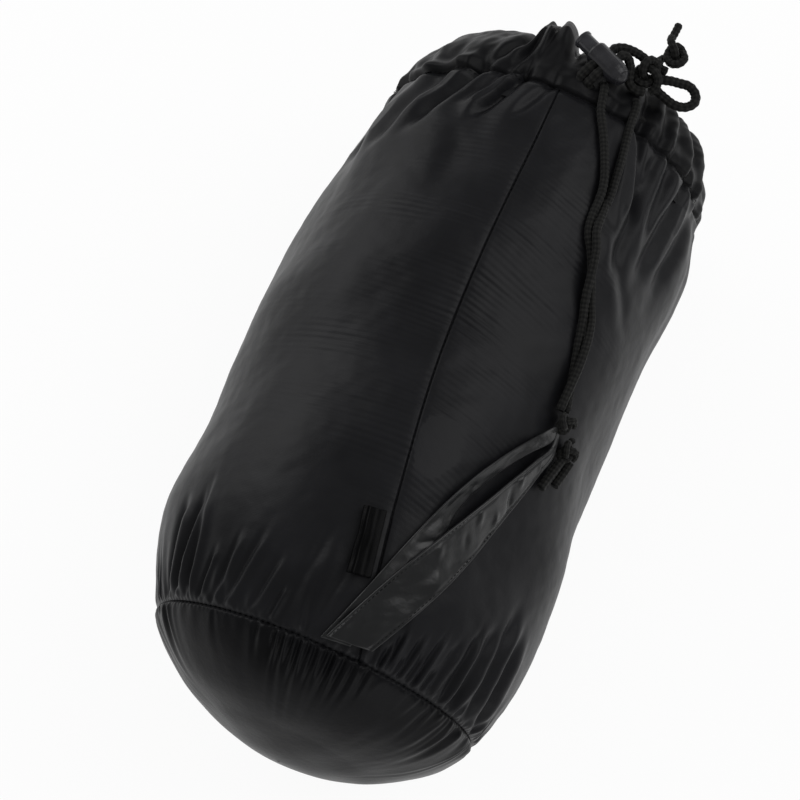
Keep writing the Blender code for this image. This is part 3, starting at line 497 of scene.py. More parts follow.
DRAWCORD, CARRY_CORD = 5.0, 4.4
DRAWCORD_TIED, CARRY_TIED = DRAWCORD * 0.82, CARRY_CORD * 0.62  # pulled tight in the knots
BOW_CLEAR, STOPPER_CLEAR, CARRY_CLEAR = 2.2, 2.0, 1.6  # from the middle line of a knot
CARRY_EXTRA = 1.6  # how much further the pair reaches, to meet its upper strands
LOCK_SHOULDER, LOCK_TIP = np.array((18.2, 334.4, 182.0)), np.array((39.0, 322.8, 183.2))
CORD_MIDDLE, CORD_PITCH, CHANNEL_DEPTH = 8.3, 5.4, 4.2
CHANNEL_Y = 317.5
ROUTE_STEP = 0.5

lock_axis = unit(LOCK_TIP - LOCK_SHOULDER)
lock_hole = unit(np.cross((0, 0, 1), lock_axis))


def lock_cord_point(which, distance, drop):
    """A place on a lead: distance from the middle of the lock's slot, and drop beside it."""
    middle = CORD_MIDDLE + which * CORD_PITCH / 2
    return LOCK_SHOULDER + lock_axis * middle + lock_hole * distance + np.array((0, 0, drop))


def channel_point(x, y):
    """A place in the middle of the hem's channel."""
    radius = float(skin_radius(y)) - CHANNEL_DEPTH
    return around(asin((x - float(sway(y))) / radius), y, radius)


# Routes of the drawcord in the sack's frame
UPPER = [channel_point(3.0, CHANNEL_Y), channel_point(8.5, CHANNEL_Y)] + [
    lock_cord_point(-1, *pair) for pair in
    ((-16.5, -5.4), (-13.0, -2.8), (-9.5, -0.6), (-7.0, 0.0), (0.0, 0.0), (7.0, 0.0), (9.3, 0.0))
] + [(31.6, 342.2, 181.4), (37.2, 343.6, 179.0), (42.0, 343.6, 176.8), (47.0, 343.0, 174.6)]
LOWER = [channel_point(36.0, CHANNEL_Y), channel_point(30.5, CHANNEL_Y), channel_point(25.6, 317.4)] + [
    lock_cord_point(1, *pair) for pair in
    ((-13.5, -4.8), (-11.0, -2.4), (-8.5, -0.6), (-6.5, 0.0), (0.0, 0.0), (6.6, 0.0), (9.0, 0.0))
] + [
    (34.8, 337.8, 181.0), (37.6, 335.2, 178.4), (38.6, 331.2, 176.0), (40.6, 327.8, 174.0),
    (44.4, 327.0, 172.2), (48.4, 328.4, 171.2),
]
BOW_CENTRE = np.array((52.5, 337.1, 172.0))
BOW_LOOP = (
    (54, 338.2, 171.2), (58.6, 339.8, 170.8), (63, 341, 169.6), (68.6, 342, 168.4), (73, 339.4, 167.2),
    (74, 334.8, 166.4), (70.6, 330.8, 166.4), (65, 329.4, 167.2), (59, 330.6, 168.6), (54, 332.2, 169.8),
)
STOPPER_CENTRE = np.array((50.6, 355.6, 171.5))
# Routes of the carry cord: arc, y and lift
CARRY_ROUTE = (
    (48.3, 255.7, 2.9), (49.6, 240, 2.9), (55.4, 229, 2.9), (63.2, 211, 2.9), (68.8, 199, 2.9), (73, 180, 2.9),
    (76.2, 163, 3.2), (77.8, 150.8, 4.7),
)
CARRY_LEFT_TOP = (
    (22.2, 326, -6.2), (22.5, 323.1, -4.2), (22.6, 321.4, 0.2), (23.2, 319, 2.8), (24.6, 313, 3.4),
    (27.2, 303, 3.1), (34.6, 288.6, 2.9), (42.6, 271, 2.9), (45.4, 262, 2.9), (45.9, 257.1, 2.9),
)
CARRY_RIGHT_TOP = (
    (41.4, 327, -6.2), (41.5, 324.1, -4.2), (41.6, 322.4, 0.2), (42, 320, 2.8), (42.8, 314, 3.4),
    (43.8, 304, 3.1), (47.2, 283.6, 2.9), (49.4, 270, 2.9), (50.6, 262, 2.9), (50.7, 257.1, 2.9),
)
# Knots: middle, direction as a step of arc and y, and length of the ends
CARRY_KNOTS = (
    ("carry_knot", (82.4, 150.2, 5.6), (10, -5.6), 1.8),
    ("tail_knot", (93.4, 139, 4.7), (6, -8), 1.8),
)
CARRY_TAILS = (
    ("carry_tail_long", ((91, 135, 4.8), (89, 127, 3.4), (85.6, 113.6, 2.8))),
    ("carry_tail_short", ((96.2, 134, 4.6), (95.6, 127, 3.4), (93.8, 119.4, 2.8))),
)


def overhand(lead):
    """A loose overhand knot, in diameters of its cord."""
    hoop, swing, opening = 1.3, 0.58, 0.42
    lobes = []
    for t in np.linspace(opening, tau - opening, 25):
        reach = hoop + swing * cos(3 * t)
        lobes.append((reach * cos(2 * t), reach * sin(2 * t), swing * sin(3 * t)))
    leads = ((1.95, 0.25, 0.62), (1.95, -0.75, 0.58), (1.35, -1.9, 0.3), (1.0, -lead, 0.0))
    last = [(x, -y, -z) for x, y, z in leads]
    return np.array(list(leads[::-1]) + lobes + last)


def tighten(points):
    """Pulls a loose knot tight until its strands lie against each other; lengths in diameters."""
    rounds, pitch, clear, reach = 400, 0.22, 1.09, 1.7
    points = evenly(points, pitch)
    for step in range(rounds):
        inner = points[1:-1] + 0.5 * (0.5 * (points[:-2] + points[2:]) - points[1:-1])
        points = np.concatenate([points[:1], inner, points[-1:]])
        for _ in range(3):
            away = points[:, None] - points[None]
            distance = np.sqrt((away ** 2).sum(axis=2)) + 1e-9
            order = np.arange(len(points))
            far = np.abs(order[:, None] - order[None]) * pitch > reach
            short = np.where(far & (distance < clear), clear - distance, 0.0)
            move = (away / distance[:, :, None] * short[:, :, None] * 0.5).sum(axis=1)
            move = move / np.sqrt(np.maximum(1, (short > 0).sum(axis=1)))[:, None]
            move[0] = 0
            move[-1] = 0
            points = points + move
        if step % 5 == 4:
            points = evenly(points, pitch)
    return points


def knot_points(centre, along, across, diameter, lead):
    drawn = tighten(overhand(lead)) - np.array((1.0, 0.0, 0.0))
    along, across = unit(np.array(along, float)), np.array(across, float)
    across = unit(across - along * float(across @ along))
    axes = np.stack([across, along, np.cross(across, along)])
    return centre + diameter * drawn @ axes


def clear_of(points, other, distance):
    """The longest run of points that stays that far from another line."""
    away = np.sqrt(((points[:, None] - other[None]) ** 2).sum(axis=2)).min(axis=1)
    runs = []
    for k, free in enumerate(away > distance):
        if free and runs and runs[-1][-1] == k - 1:
            runs[-1].append(k)
        elif free:
            runs.append([k])
    return points[max(runs, key=len)]


def make_drawcord():
    tied = DRAWCORD_TIED
    bow = knot_points(BOW_CENTRE, (0.15, 1.0, 0.15), (1.0, 0.0, -0.4), tied, 1.9)
    bow_piece, _ = braid("bow_knot", bow, 1.08 * tied, "sack")
    for node, route, extra in (
        ("drawcord_lead_upper", UPPER, [bow_piece]), ("drawcord_lead_lower", LOWER, []),
        ("bow_loop", BOW_LOOP, []),
    ):
        points = clear_of(smooth_route(route, ROUTE_STEP), bow, BOW_CLEAR)
        piece, line = braid(node, points, DRAWCORD, "sack")
    stopper = knot_points(STOPPER_CENTRE, (0.05, 1.0, 0.0), (-1.0, 0.0, 0.2), tied, 2.2)
    route = [(51.4, 342.4, 172.8), *evenly(stopper, tied), (51.4, 368.6, 171.6), (51.6, 372.6, 171.6)]
    tail = clear_of(smooth_route(route, ROUTE_STEP), bow, STOPPER_CLEAR)
    piece, line = braid("stopper_tail", tail, 1.02 * tied, "sack")


def from_axis(point):
    """The way out from the sack's middle line to a point."""
    return np.array((point[0] - float(sway(point[1])), 0, point[2] - AXIS_HEIGHT))


def carry_pair():
    """The two strands of the doubled carry cord, which cross over once on their way."""
    route = smooth_route([on_skin(*point) for point in CARRY_ROUTE], 2.0)
    half = CARRY_CORD / 2 - 0.05
    lanes = ([], [])
    for k, point in enumerate(route):
        ahead = route[min(k + 1, len(route) - 1)] - route[max(k - 1, 0)]
        off = unit(from_axis(point))
        across = unit(np.cross(off, ahead))
        angle = tau * k / (len(route) - 1)
        for lane, side in zip(lanes, (-1, 1)):
            turn = across * cos(angle) + off * sin(angle)
            lane.append(point + off * half * abs(sin(angle)) + turn * side * half)
    return [np.array(lane) for lane in lanes]


def make_carry_cord():
    knots = []
    for name, centre, along, lead in CARRY_KNOTS:
        middle = on_skin(*centre)
        ahead = on_skin(centre[0] + along[0], centre[1] + along[1], centre[2]) - middle
        points = knot_points(middle, ahead, np.cross(from_axis(middle), ahead), CARRY_TIED, lead)
        piece, _ = braid(name, points, 1.22 * CARRY_TIED, "handle")
        knots.append((points, piece))
    for name, lane, (_, piece) in zip(("carry_cord_left", "carry_cord_right"), carry_pair(), knots):
        points = clear_of(evenly(lane, ROUTE_STEP), knots[0][0], CARRY_CLEAR)
        ahead = points[1] - points[0]
        points = np.concatenate([points[:1] - CARRY_EXTRA * ahead / np.linalg.norm(ahead), points])
        item, line = braid(name, points, CARRY_CORD, "handle")
    for name, route in (("carry_cord_left_top", CARRY_LEFT_TOP), ("carry_cord_right_top", CARRY_RIGHT_TOP)):
        points = smooth_route([on_skin(*place) for place in route], ROUTE_STEP)
        item, line = braid(name, points, CARRY_CORD, "sack")
    for name, route in CARRY_TAILS:
        points = smooth_route([on_skin(*place) for place in route], ROUTE_STEP)
        item, _ = braid(name, clear_of(points, knots[1][0], CARRY_CLEAR), CARRY_CORD, "handle")


make_drawcord()
make_carry_cord()


# ---------------- cloth of the sack

# Single creases: the arc and y of both ends, width, depth, and the share that rises beside it
MOUTH_CREASES = (
    (-36, 318, -64, 274, 4, 5.4, 0.6), (-10, 320, -30, 282, 2.8, 4.4, 0.7), (-20, 316, -42, 288, 3, 2.2, 0.6),
    (-66, 308, -86, 262, 5, 3.2, 0.6), (4, 318, -10, 286, 2.4, 1.8, 0.6), (51, 310, 70, 268, 3.4, 4.4, 0.8),
    (66, 308, 72, 238, 3.8, 2.6, 0.7), (80, 306, 84, 262, 3.2, 2.8, 0.7), (97, 306, 92, 244, 5, 3.2, 0.6),
    (118, 306, 112, 250, 5, 3.4, 0.7), (56, 300, 62, 262, 2.6, 2, 0.7), (-104, 310, -112, 262, 6, 3.4, 0.6),
    (48, 262, 84, 226, 4, 0.8, 0.8), (66, 250, 96, 214, 4, 0.7, 0.8), (-44, 292, -30, 244, 5, 0.9, 0.5),
    (-4, 290, 12, 238, 6, 0.6, 0.5),
)
BASE_CREASES = (
    (-82, 2, -80, 44, 2.2, 3, 0.9), (-92, 2, -94, 40, 3, 3.2, 0.8), (-72, 2, -76, 48, 2, 2, 0.8),
    (-52, 2, -48, 30, 1.6, 1.4, 0.9), (-44, 2, -36, 34, 1.7, 1.2, 0.9), (-30, 2, -24, 26, 1.6, 1.2, 0.9),
    (-14, 2, -6, 44, 3, 1, 0.7), (0, 2, 8, 34, 2.4, 1, 0.7), (84, 2, 92, 40, 2.8, 2, 0.8),
    (98, 2, 104, 52, 3.2, 2.4, 0.8), (112, 2, 114, 46, 3.6, 2.4, 0.8), (64, 2, 72, 26, 1.8, 1.2, 0.8),
    (36, 0, 39, 12, 0.7, 1.2, 0.9), (39, 0, 43, 18, 0.8, 1.4, 0.9), (43, 0, 47, 10, 0.7, 1.1, 0.9),
    (46.5, 0, 52, 20, 0.9, 1.5, 0.9), (51, 0, 55, 13, 0.8, 1.3, 0.9), (55, 0, 62, 24, 0.9, 1.4, 0.9),
    (60, 0, 65, 12, 0.8, 1.2, 0.9), (74, 1, 82, 34, 1.6, 1.8, 0.8), (-62, 1, -60, 22, 1.3, 1.4, 0.9),
    (-20, 1, -17, 16, 1.1, 1.2, 0.9),
)
SEAM_PITCH = 3.05
TIGHT = 2.2  # reach of a seam that holds the cloth flat


def seam_columns():
    """Places round the body: even in view, closest together beside the side seam, wide at the back."""
    low, high, near, beside, wide, reach = -75.0, 95.0, 0.42, 0.14, 1.6, 2.2
    parts = [
        np.arange(low, SEAM_DEGREES - reach, near),
        np.arange(SEAM_DEGREES - reach, SEAM_DEGREES + reach, beside),
        np.arange(SEAM_DEGREES + reach, high, near), np.arange(high, low + 360.0, wide),
    ]
    places = np.radians(np.concatenate(parts))
    pull = bell(np.degrees(wrapped(places - radians(SEAM_DEGREES))), 45.0)
    return places, pull


def dimples(turn, away):
    """Small puckers that the stitches of a gathered seam draw in."""
    seen = np.clip((radians(84.0) - np.abs(wrapped(turn - 0.17))) / 0.15, 0, 1)
    wave = 0.5 + 0.5 * np.cos(wrapped(turn) * BASE_RADIUS * tau / SEAM_PITCH)
    return -seen * 0.42 * wave * bell(away, 2.0) - 0.75 * bell(away, 0.8)


def puckers(off, y):
    """Fine long ripples that cross the side seam, and the seam's own sharp groove."""
    line = np.stack(np.broadcast_arrays(off * 0.22, y, 0 * y), axis=-1)
    wander = noise(line, 31, 16.0, 60.0, 14)
    patch = noise(line, 32, 12.0, 46.0, 12)
    reach = np.where(off > 0, 38.0, 46.0) * (1 + 0.25 * patch)
    strength = np.clip((y - 62.0) / 40.0, 0.12, 1) * np.clip((300.0 - y) / 60.0, 0.1, 1)
    lean = np.where(off > 0, 0.24, -0.02)
    ripple = np.sin(tau * (y + lean * off) / 3.1 + 1.5 * wander)
    slow = np.sin(tau * (y + lean * off) / 7.9 + 2.0 * wander)
    fade = bell(np.abs(off), np.maximum(reach, 10.0)) * np.clip(0.85 + 0.3 * patch, 0.4, 1.3)
    groove = -1.3 * bell(off, 0.42) - 0.35 * bell(off, 2.2)
    return strength * fade * (0.105 * ripple + 0.07 * slow) + groove


def mouth_gathers(turn, y):
    """The folds that the gathered mouth throws back along the body, carried on into the hem."""
    arc = wrapped(turn) * skin_radius(np.minimum(y, LENGTH))
    push = gathers(turn, np.maximum(LENGTH - y, 0), 12, 44, (1.8, 4.2), (14, 74), (0.6, 2.0),
                   calm=((-14, 30, 0.25), (-60, -20, 0.5)))
    return np.clip(with_creases(push, arc, y, MOUTH_CREASES), -7.5, 2.2)


def make_body():
    places, pull = seam_columns()
    main = np.concatenate([np.linspace(0.15, 12, 40, endpoint=False), np.linspace(12, LENGTH, 600)])
    lip = np.array([308.9, 310.6, 312.6])
    y = np.concatenate([main, lip])[:, None]
    on_body = np.minimum(y, LENGTH)
    turn = places[None] + pull[None] * (seam_arc(on_body) / skin_radius(on_body) - radians(SEAM_DEGREES))
    radius = skin_radius(on_body) * np.ones_like(turn)
    base = around(turn, y, radius)
    arc = wrapped(turn) * skin_radius(on_body)
    push = relief(y, turn) + 0.22 * noise(base, 4, 26.0, 60.0) + 0.05 * noise(base, 5, 7.0, 15.0, 40)
    low = gathers(turn, y, 11, 90, (0.9, 2.0), (5, 30), (0.5, 1.5), calm=((-34, 8, 0.8), (50, 120, 1.2)))
    low = with_creases(low, arc, y, BASE_CREASES)
    push += low * (1 - bell(y, TIGHT)) + mouth_gathers(turn, y) + puckers(arc - seam_arc(on_body), y)
    push += dimples(turn, y) - 2.0 * bell(LENGTH - y, TIGHT)
    push -= np.interp(y, [LENGTH, *lip], [0.0, 1.2, 2.6, 3.9])
    radius = radius + np.clip(push, -9.0, 3.2)
    radius -= floor_dent(radius, turn)
    body = solid_object("body_cloth", around(turn, y, radius), grid_faces(*turn.shape), TAFFETA,
                        (turn * BODY_RADIUS, y))
    settle(body, "sack", "body_panel")


# Folds below the base seam: degrees round the sack, width, depth and length
DOME_CREASES = (
    (-9.6, 1, 1.2, 12), (-6.8, 1.1, 1.9, 24), (-3.4, 0.9, 1.3, 15), (-1.2, 1.2, 2.3, 30), (2.2, 0.9, 1.5, 17),
    (4.6, 1.3, 2.1, 27), (7.9, 0.9, 1.4, 13), (10.2, 1.2, 2.2, 25), (13.9, 1, 1.5, 16), (17.6, 1.1, 1.5, 20),
    (22, 1.1, 1.3, 12), (-16, 1.2, 0.9, 14), (58, 1.6, 1.5, 24), (-62, 2, 1.6, 26), (66, 2, 1.7, 26),
    (48, 1.3, 1.1, 16),
)


def make_base():
    turns = round_turns(0.42, 1.6, -90.0, 110.0)
    share = np.sin(np.linspace(0, pi / 2, 150))
    ys = -0.15 - share * (DOME - 0.16)
    turn, y = turns[None], ys[:, None]
    radius = skin_radius(y) * np.ones_like(turn)
    base = around(turn, y, radius)
    away = np.concatenate([[0.0], np.cumsum(np.hypot(np.diff(ys), np.diff(skin_radius(ys))))])[:, None]
    fade = np.clip((radius - 2.0) / 40.0, 0, 1)
    push = 0.9 * noise(base, 6, 60.0, 120.0) + 0.25 * noise(base, 7, 20.0, 46.0)
    folds = gathers(turn, away, 13, 84, (0.9, 2.2), (6, 34), (0.4, 1.3), calm=((-60, -12, 0.35), (24, 50, 0.6)))
    for place, width, depth, length in DOME_CREASES:
        off = wrapped(turn - radians(place)) * BASE_RADIUS
        spread = width * (1 + away / 36.0)
        fade_out = bell(away, length)
        folds = folds - depth * fade_out * bell(off, spread)
        folds = folds + 0.4 * depth * fade_out * bell(np.abs(off) - 1.7 * spread, 0.8 * spread)
    push = push * (1 - bell(away, 8.0)) + folds * (1 - bell(away, TIGHT))
    push = np.clip(push * fade, -5.0, 2.6) + dimples(turn, away)
    steep = np.clip(-y / DOME, 0, 1) ** 2
    radius = radius + push * (1 - steep)
    lean = y - push * steep
    points = around(turn, y, radius - floor_dent(radius, turn))
    points[..., 1] = lean
    rows, columns = points.shape[:2]
    faces = [*grid_faces(rows, columns, flip=True), end_face(rows, columns)]
    dome = solid_object("base_cloth", points, faces, BASE_TAFFETA, (radius * np.sin(turn), radius * np.cos(turn)))
    settle(dome, "sack", "base_panel")


# Folds of the hem: degrees round the sack, width in degrees, depth, lean towards the rim, share left at the rim
HEM_FOLDS = (
    (-25, 1.9, 7, 0.16, 0.2), (-42, 3.6, 2.6, 0.06, 0.1), (-15.5, 1.5, 7.5, 0.07, 0.7), (-58, 4.5, 3.4, 0, 0.2),
    (33, 2.2, 4.6, 0, 0.8), (42, 2, 3.6, 0, 0.9), (52, 2.6, 5, 0, 0.8), (64, 3.2, 4.6, 0, 1),
    (80, 4.2, 5.2, 0, 0.9), (12, 1.8, 2.6, 0, 1), (22, 2, 2.8, 0, 0.8), (104, 5, 5, 0, 1), (-76, 5, 5, 0, 0.6),
    (-98, 5.5, 5.5, 0, 1), (130, 5.5, 5, 0, 1), (-122, 5.5, 5, 0, 1), (156, 5, 4.5, 0, 1), (-148, 5, 4.5, 0, 1),
    (180, 5, 4.5, 0, 1),
)
# The crumpled bunch behind the lock, in degrees: middle, width, peaks and the notches beside them
BUNCH_PLACE, BUNCH_WIDTH = -6.5, 7.2
BUNCH_PEAKS = ((-5.2, 1.9), (2.6, 3.0))
BUNCH_NOTCHES = ((-9.6, 1.9), (9.0, 2.0))
HEM_STEP = 0.6


def pair_of_bells(off, places):
    """The second is a little lower than the first."""
    (one, one_width), (two, two_width) = places
    return bell(off - one, one_width) + 0.9 * bell(off - two, two_width)


def make_hem():
    turns = round_turns(0.36, 1.3)
    path = smooth_route([(s, d, 0.0) for s, d in HEM_OUTER + HEM_INNER], HEM_STEP)[:, :2]
    turn = turns[None]
    step, drop = path[:, 0][:, None], path[:, 1][:, None]
    share = np.clip(step / 30.8, 0, 1.3)
    fold = np.zeros_like(turn * share)
    for place, width, depth, lean, left in HEM_FOLDS:
        off = np.degrees(wrapped(turn - radians(place) - lean * share))
        deep = depth * (1 - (1 - left) * np.clip(share, 0, 1) ** 2)
        fold -= deep * share ** 0.7 * bell(off, width)
        fold += 0.35 * deep * share * bell(np.abs(off) - 2.2 * width, 1.2 * width)
    off = np.degrees(wrapped(turn - radians(BUNCH_PLACE)))
    high = np.clip(share, 0, 1) ** 3
    bunch = np.exp(-(off / BUNCH_WIDTH) ** 6) * high
    peaks = pair_of_bells(off, BUNCH_PEAKS) * high
    notch = pair_of_bells(off, BUNCH_NOTCHES) * high
    cleft = bell(off + 2.2 - 1.2 * share, 0.9) * high
    lump = 3.6 * bunch + 2.4 * peaks - 4.0 * notch - 3.0 * cleft
    lump = lump + 0.9 * bunch * np.sin(np.radians(off) * 60 + 5.0 * share)
    base = around(turn, LENGTH + step, HEM_RADIUS - drop)
    small = 0.45 * noise(base, 21, 14.0, 34.0) + 0.16 * noise(base, 22, 5.0, 10.0, 30)
    cuff = np.exp(-((np.degrees(turn) + 47.0) / 15.0) ** 4)
    cord = (1.0 + 1.8 * cuff) * bell(step - 8.0 + 4.0 * cuff, 3.6)
    cord = cord - 2.2 * bell(step - 0.4, 1.3)
    seam = mouth_gathers(turn, LENGTH * np.ones_like(turn)) * bell(step, 13.0)
    rim = 0.6 * noise(around(turn, 0.0, HEM_RADIUS), 23, 30.0, 70.0, 30) * share ** 2
    radius = HEM_RADIUS - drop + fold + lump + small * np.clip(share * 2, 0.2, 1) + cord + seam
    radius = np.clip(radius, 20.0, 95.5)
    radius -= floor_dent(radius, turn)
    y = LENGTH + step * np.ones_like(turn) + 4.8 * bunch + 3.0 * peaks - 3.2 * notch - 1.8 * cleft + rim
    points = around(turn, y, radius)
    hem = solid_object("hem_cloth", points, grid_faces(len(path), len(turns)), HEM_TAFFETA,
                       (turn * HEM_RADIUS, np.arange(len(path))[:, None] * HEM_STEP))
    settle(hem, "sack", "drawcord_casing")


def make_filling():
    """The quilted end of what is packed, seen in the mouth."""
    start, height, quilt_pitch = 296.0, 40.0, 34.0
    turn = np.linspace(0, tau, 200, endpoint=False)[None]
    angle = np.linspace(0.0, pi / 2 - 0.01, 60)[:, None]
    y = start + height * np.sin(angle)
    radius = (float(skin_radius(start)) - 3.0) * np.cos(angle) * np.ones_like(turn)
    base = around(turn, y * np.ones_like(turn), radius)
    lines = [np.abs(np.sin(pi * base[..., k] / quilt_pitch)) ** 0.5 for k in (0, 2)]
    push = 2.6 * (lines[0] * lines[1]) - 2.6 + 0.8 * noise(base, 41, 16.0, 40.0)
    base[..., 1] += push * np.sin(angle)
    radius = radius + push * np.cos(angle) - 0.4
    points = around(turn, base[..., 1], radius - floor_dent(radius, turn) - 0.4)
    rows, columns = points.shape[:2]
    faces = [*grid_faces(rows, columns), end_face(rows, columns)[::-1]]
    filling = solid_object("filling_end", points, faces, FILLING_TAFFETA, (points[..., 0], points[..., 2]))
    settle(filling, "sack", "stuffed_filling")


make_body()
make_base()
make_hem()
make_filling()


# ---------------- strap, label, stitches

def mix(start, end, share):
    return start + (end - start) * share


STRAP_STATIONS, STRAP_ROWS, STRAP_COLUMNS = 13, 420, 30


def strap_edges():
    """Both edges of the strap's loop: root, over the tip, back to the root; the strands lie close."""
    lanes = []
    shares = [k / (STRAP_STATIONS - 1) for k in range(STRAP_STATIONS)]
    for share in shares:
        belly = sin(pi * share ** 1.9)
        outer = (mix(6.7, 73.4, share) - 7.0 * belly, mix(2.2, 136.4, share), 1.9 + 4.4 * belly)
        shut = 1 / (1 + exp((share - 0.52) / 0.04))
        width = mix(mix(18.0, 5.6, min(1.0, share * 2.0)), mix(14.0, 9.6, share) + 1.6 * belly, shut)
        skew = mix(0.1, -0.35, min(1.0, share * 3))
        under = mix(1.9 + 2.4 * share ** 4, 3.0 + 2.4 * belly, shut * min(1.0, share * 4))
        lanes.append((outer, (outer[0] + width, outer[1] + skew * width, under)))
    lanes.append(((78.4, 143.0, 4.4), (81.0, 139.6, 3.9)))
    for share in reversed(shares):
        belly = sin(pi * share)
        near = (mix(9.0, 79.4, share), mix(3.2, 132.4, share), mix(4.2, 5.2, share) + 2.6 * belly)
        far = (mix(30.5, 84.2, share) + 5.4 * belly, mix(5.4, 129.6, share) - 4.2 * belly,
               mix(4.2, 3.4, share) - 1.4 * belly)
        lanes.append((near, far))
    edges = []
    for lane in zip(*lanes):
        edge = smooth_route([on_skin(*place) for place in lane], 1.0)
        edges.append(evenly(edge, run_length(edge) / STRAP_ROWS)[: STRAP_ROWS + 1])
    return edges


# Crinkles of the strap: share of its length, share of its width, length, breadth and height
STRAP_CRINKLES = (
    (0.715, 0.3, 5, 1.5, 0.9), (0.70, 0.72, 4, 1.2, 1), (0.655, 0.62, 6, 1.4, -0.8), (0.76, 0.5, 5, 1.6, -0.6),
    (0.80, 0.25, 4, 1.4, 0.7), (0.84, 0.7, 5, 1.8, 0.6), (0.62, 0.35, 4, 1.2, 0.7), (0.58, 0.6, 4, 1.2, 0.6),
    (0.20, 0.5, 4, 1.6, 0.6), (0.32, 0.6, 4, 1.6, 0.5),
)


def blend_strap(item):
    """Bakes the piece's placement into its points; the places of the strap's root in the base seam and of the
    part that lifts are worked out and not used.
    """
    world(on_skin(12.0, 2.0, 2.0))
    world(on_skin(30.0, 34.0, 4.0))
    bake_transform(item)


def make_strap():
    one, two = strap_edges()
    rows = min(len(one), len(two))
    one, two = one[:rows], two[:rows]
    middle = (one + two) / 2
    flat = two - one
    normal = units(np.cross(np.gradient(middle, axis=0), flat))
    across = np.linspace(0, 1, STRAP_COLUMNS)
    span = np.linalg.norm(flat, axis=1)[:, None]
    lane = one[:, None] + flat[:, None] * across[None, :, None]
    crumple = 0.42 * noise(lane, 51, 16.0, 36.0, 30) + 0.07 * noise(lane, 52, 5.0, 10.0, 30)
    along = np.arange(rows)[:, None] * run_length(middle) / rows
    for at, over, wide, narrow, height in STRAP_CRINKLES:
        p = along - at * run_length(middle)
        q = (across[None] - over) * span
        u, v = (p + 0.9 * q) / 1.35, (q - 0.9 * p) / 1.35
        crumple += height * np.exp(-(u / wide) ** 2 - (v / narrow) ** 2)
    inside = np.minimum(across, 1 - across)[None] * span
    crumple *= np.clip(inside / 3.0, 0.12, 1)
    valley = -0.4 * bell(inside - 1.9, 0.5) + 0.25 * bell(inside - 0.9, 0.5)
    thick = 0.62 * np.clip(inside / 0.5, 0.25, 1) ** 0.5
    top = lane + normal[:, None] * (crumple + valley + thick)[..., None]
    bottom = lane + normal[:, None] * (crumple - thick)[..., None]
    ring = np.concatenate([top, bottom[:, ::-1]], axis=1)
    place = np.concatenate([across, 1 + across])[None] * span
    strap = solid_object("strap_cloth", ring, tube_faces(rows, ring.shape[1]), STRAP_TAFFETA, (along, place))
    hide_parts("carry_strap")
    blend_strap(strap)
    return one, two, normal


def stitches(name, line, normal, pitch, length, thickness):
    """A row of short raised threads along a line, in millimetres."""
    along = lengths_along(line)
    sides, rings = 8, 7
    points, faces = [], []
    for count, start in enumerate(np.arange(pitch / 2, along[-1] - pitch, pitch)):
        ends = np.linspace(start, start + length, rings)
        middle = np.stack([np.interp(ends, along, line[:, k]) for k in range(3)], axis=1)
        up = units(np.stack([np.interp(ends, along, normal[:, k]) for k in range(3)], axis=1))
        side = units(np.cross(np.gradient(middle, axis=0), up))
        arch = np.sin(np.linspace(0.06, pi - 0.06, rings))
        size = thickness / 2 * (0.35 + 0.65 * arch)[:, None, None]
        turn = np.linspace(0, tau, sides, endpoint=False)[None, :, None]
        rise = up * (0.5 * thickness * arch - 0.18 * thickness)[:, None]
        ring = (middle + rise)[:, None] + size * (np.cos(turn) * side[:, None] + np.sin(turn) * up[:, None])
        points.append(ring.reshape(-1, 3))
        faces += [[count * rings * sides + k for k in face] for face in tube_faces(rings, sides)]
    return solid_object(name, np.concatenate(points), faces, THREAD)


def make_strap_stitches(one, two, normal):
    rows = len(one)
    for name, share, low, high in (
        ("strap_stitch_left", 0.12, 0.0, 0.49), ("strap_stitch_near", 0.07, 0.53, 1.0),
        ("strap_stitch_far", 0.93, 0.53, 1.0),
    ):
        line = one + (two - one) * share
        part = slice(int(low * rows), int(high * rows))
        row = stitches(name, line[part] + 0.25 * normal[part], normal[part], 2.4, 1.8, 0.5)
        blend_strap(row)


LABEL_LENGTH, LABEL_REACH, LABEL_THICK, LABEL_FOLD = 31.5, 11.0, 0.55, 1.7
LABEL_PLACE, LABEL_LIFT, LABEL_BACK, LABEL_STEP = 49.4, 1.1, 3.0, 0.35


def label_axes():
    """The label's hinge point, and the ways across it, along it and off the skin."""
    middle, reach = LABEL_PLACE, LABEL_LENGTH / 2

    def at(y, back, lift):
        return on_skin(seam_arc(y) - back, y, lift)

    origin = at(middle, LABEL_BACK, LABEL_LIFT)
    along = unit(at(middle + reach, LABEL_BACK, LABEL_LIFT) - at(middle - reach, LABEL_BACK, LABEL_LIFT))
    off = at(middle, 8.5, 11.0) - at(middle, 8.5, 0.0)
    across = unit(np.cross(along, off))
    return origin, across, along, np.cross(across, along)


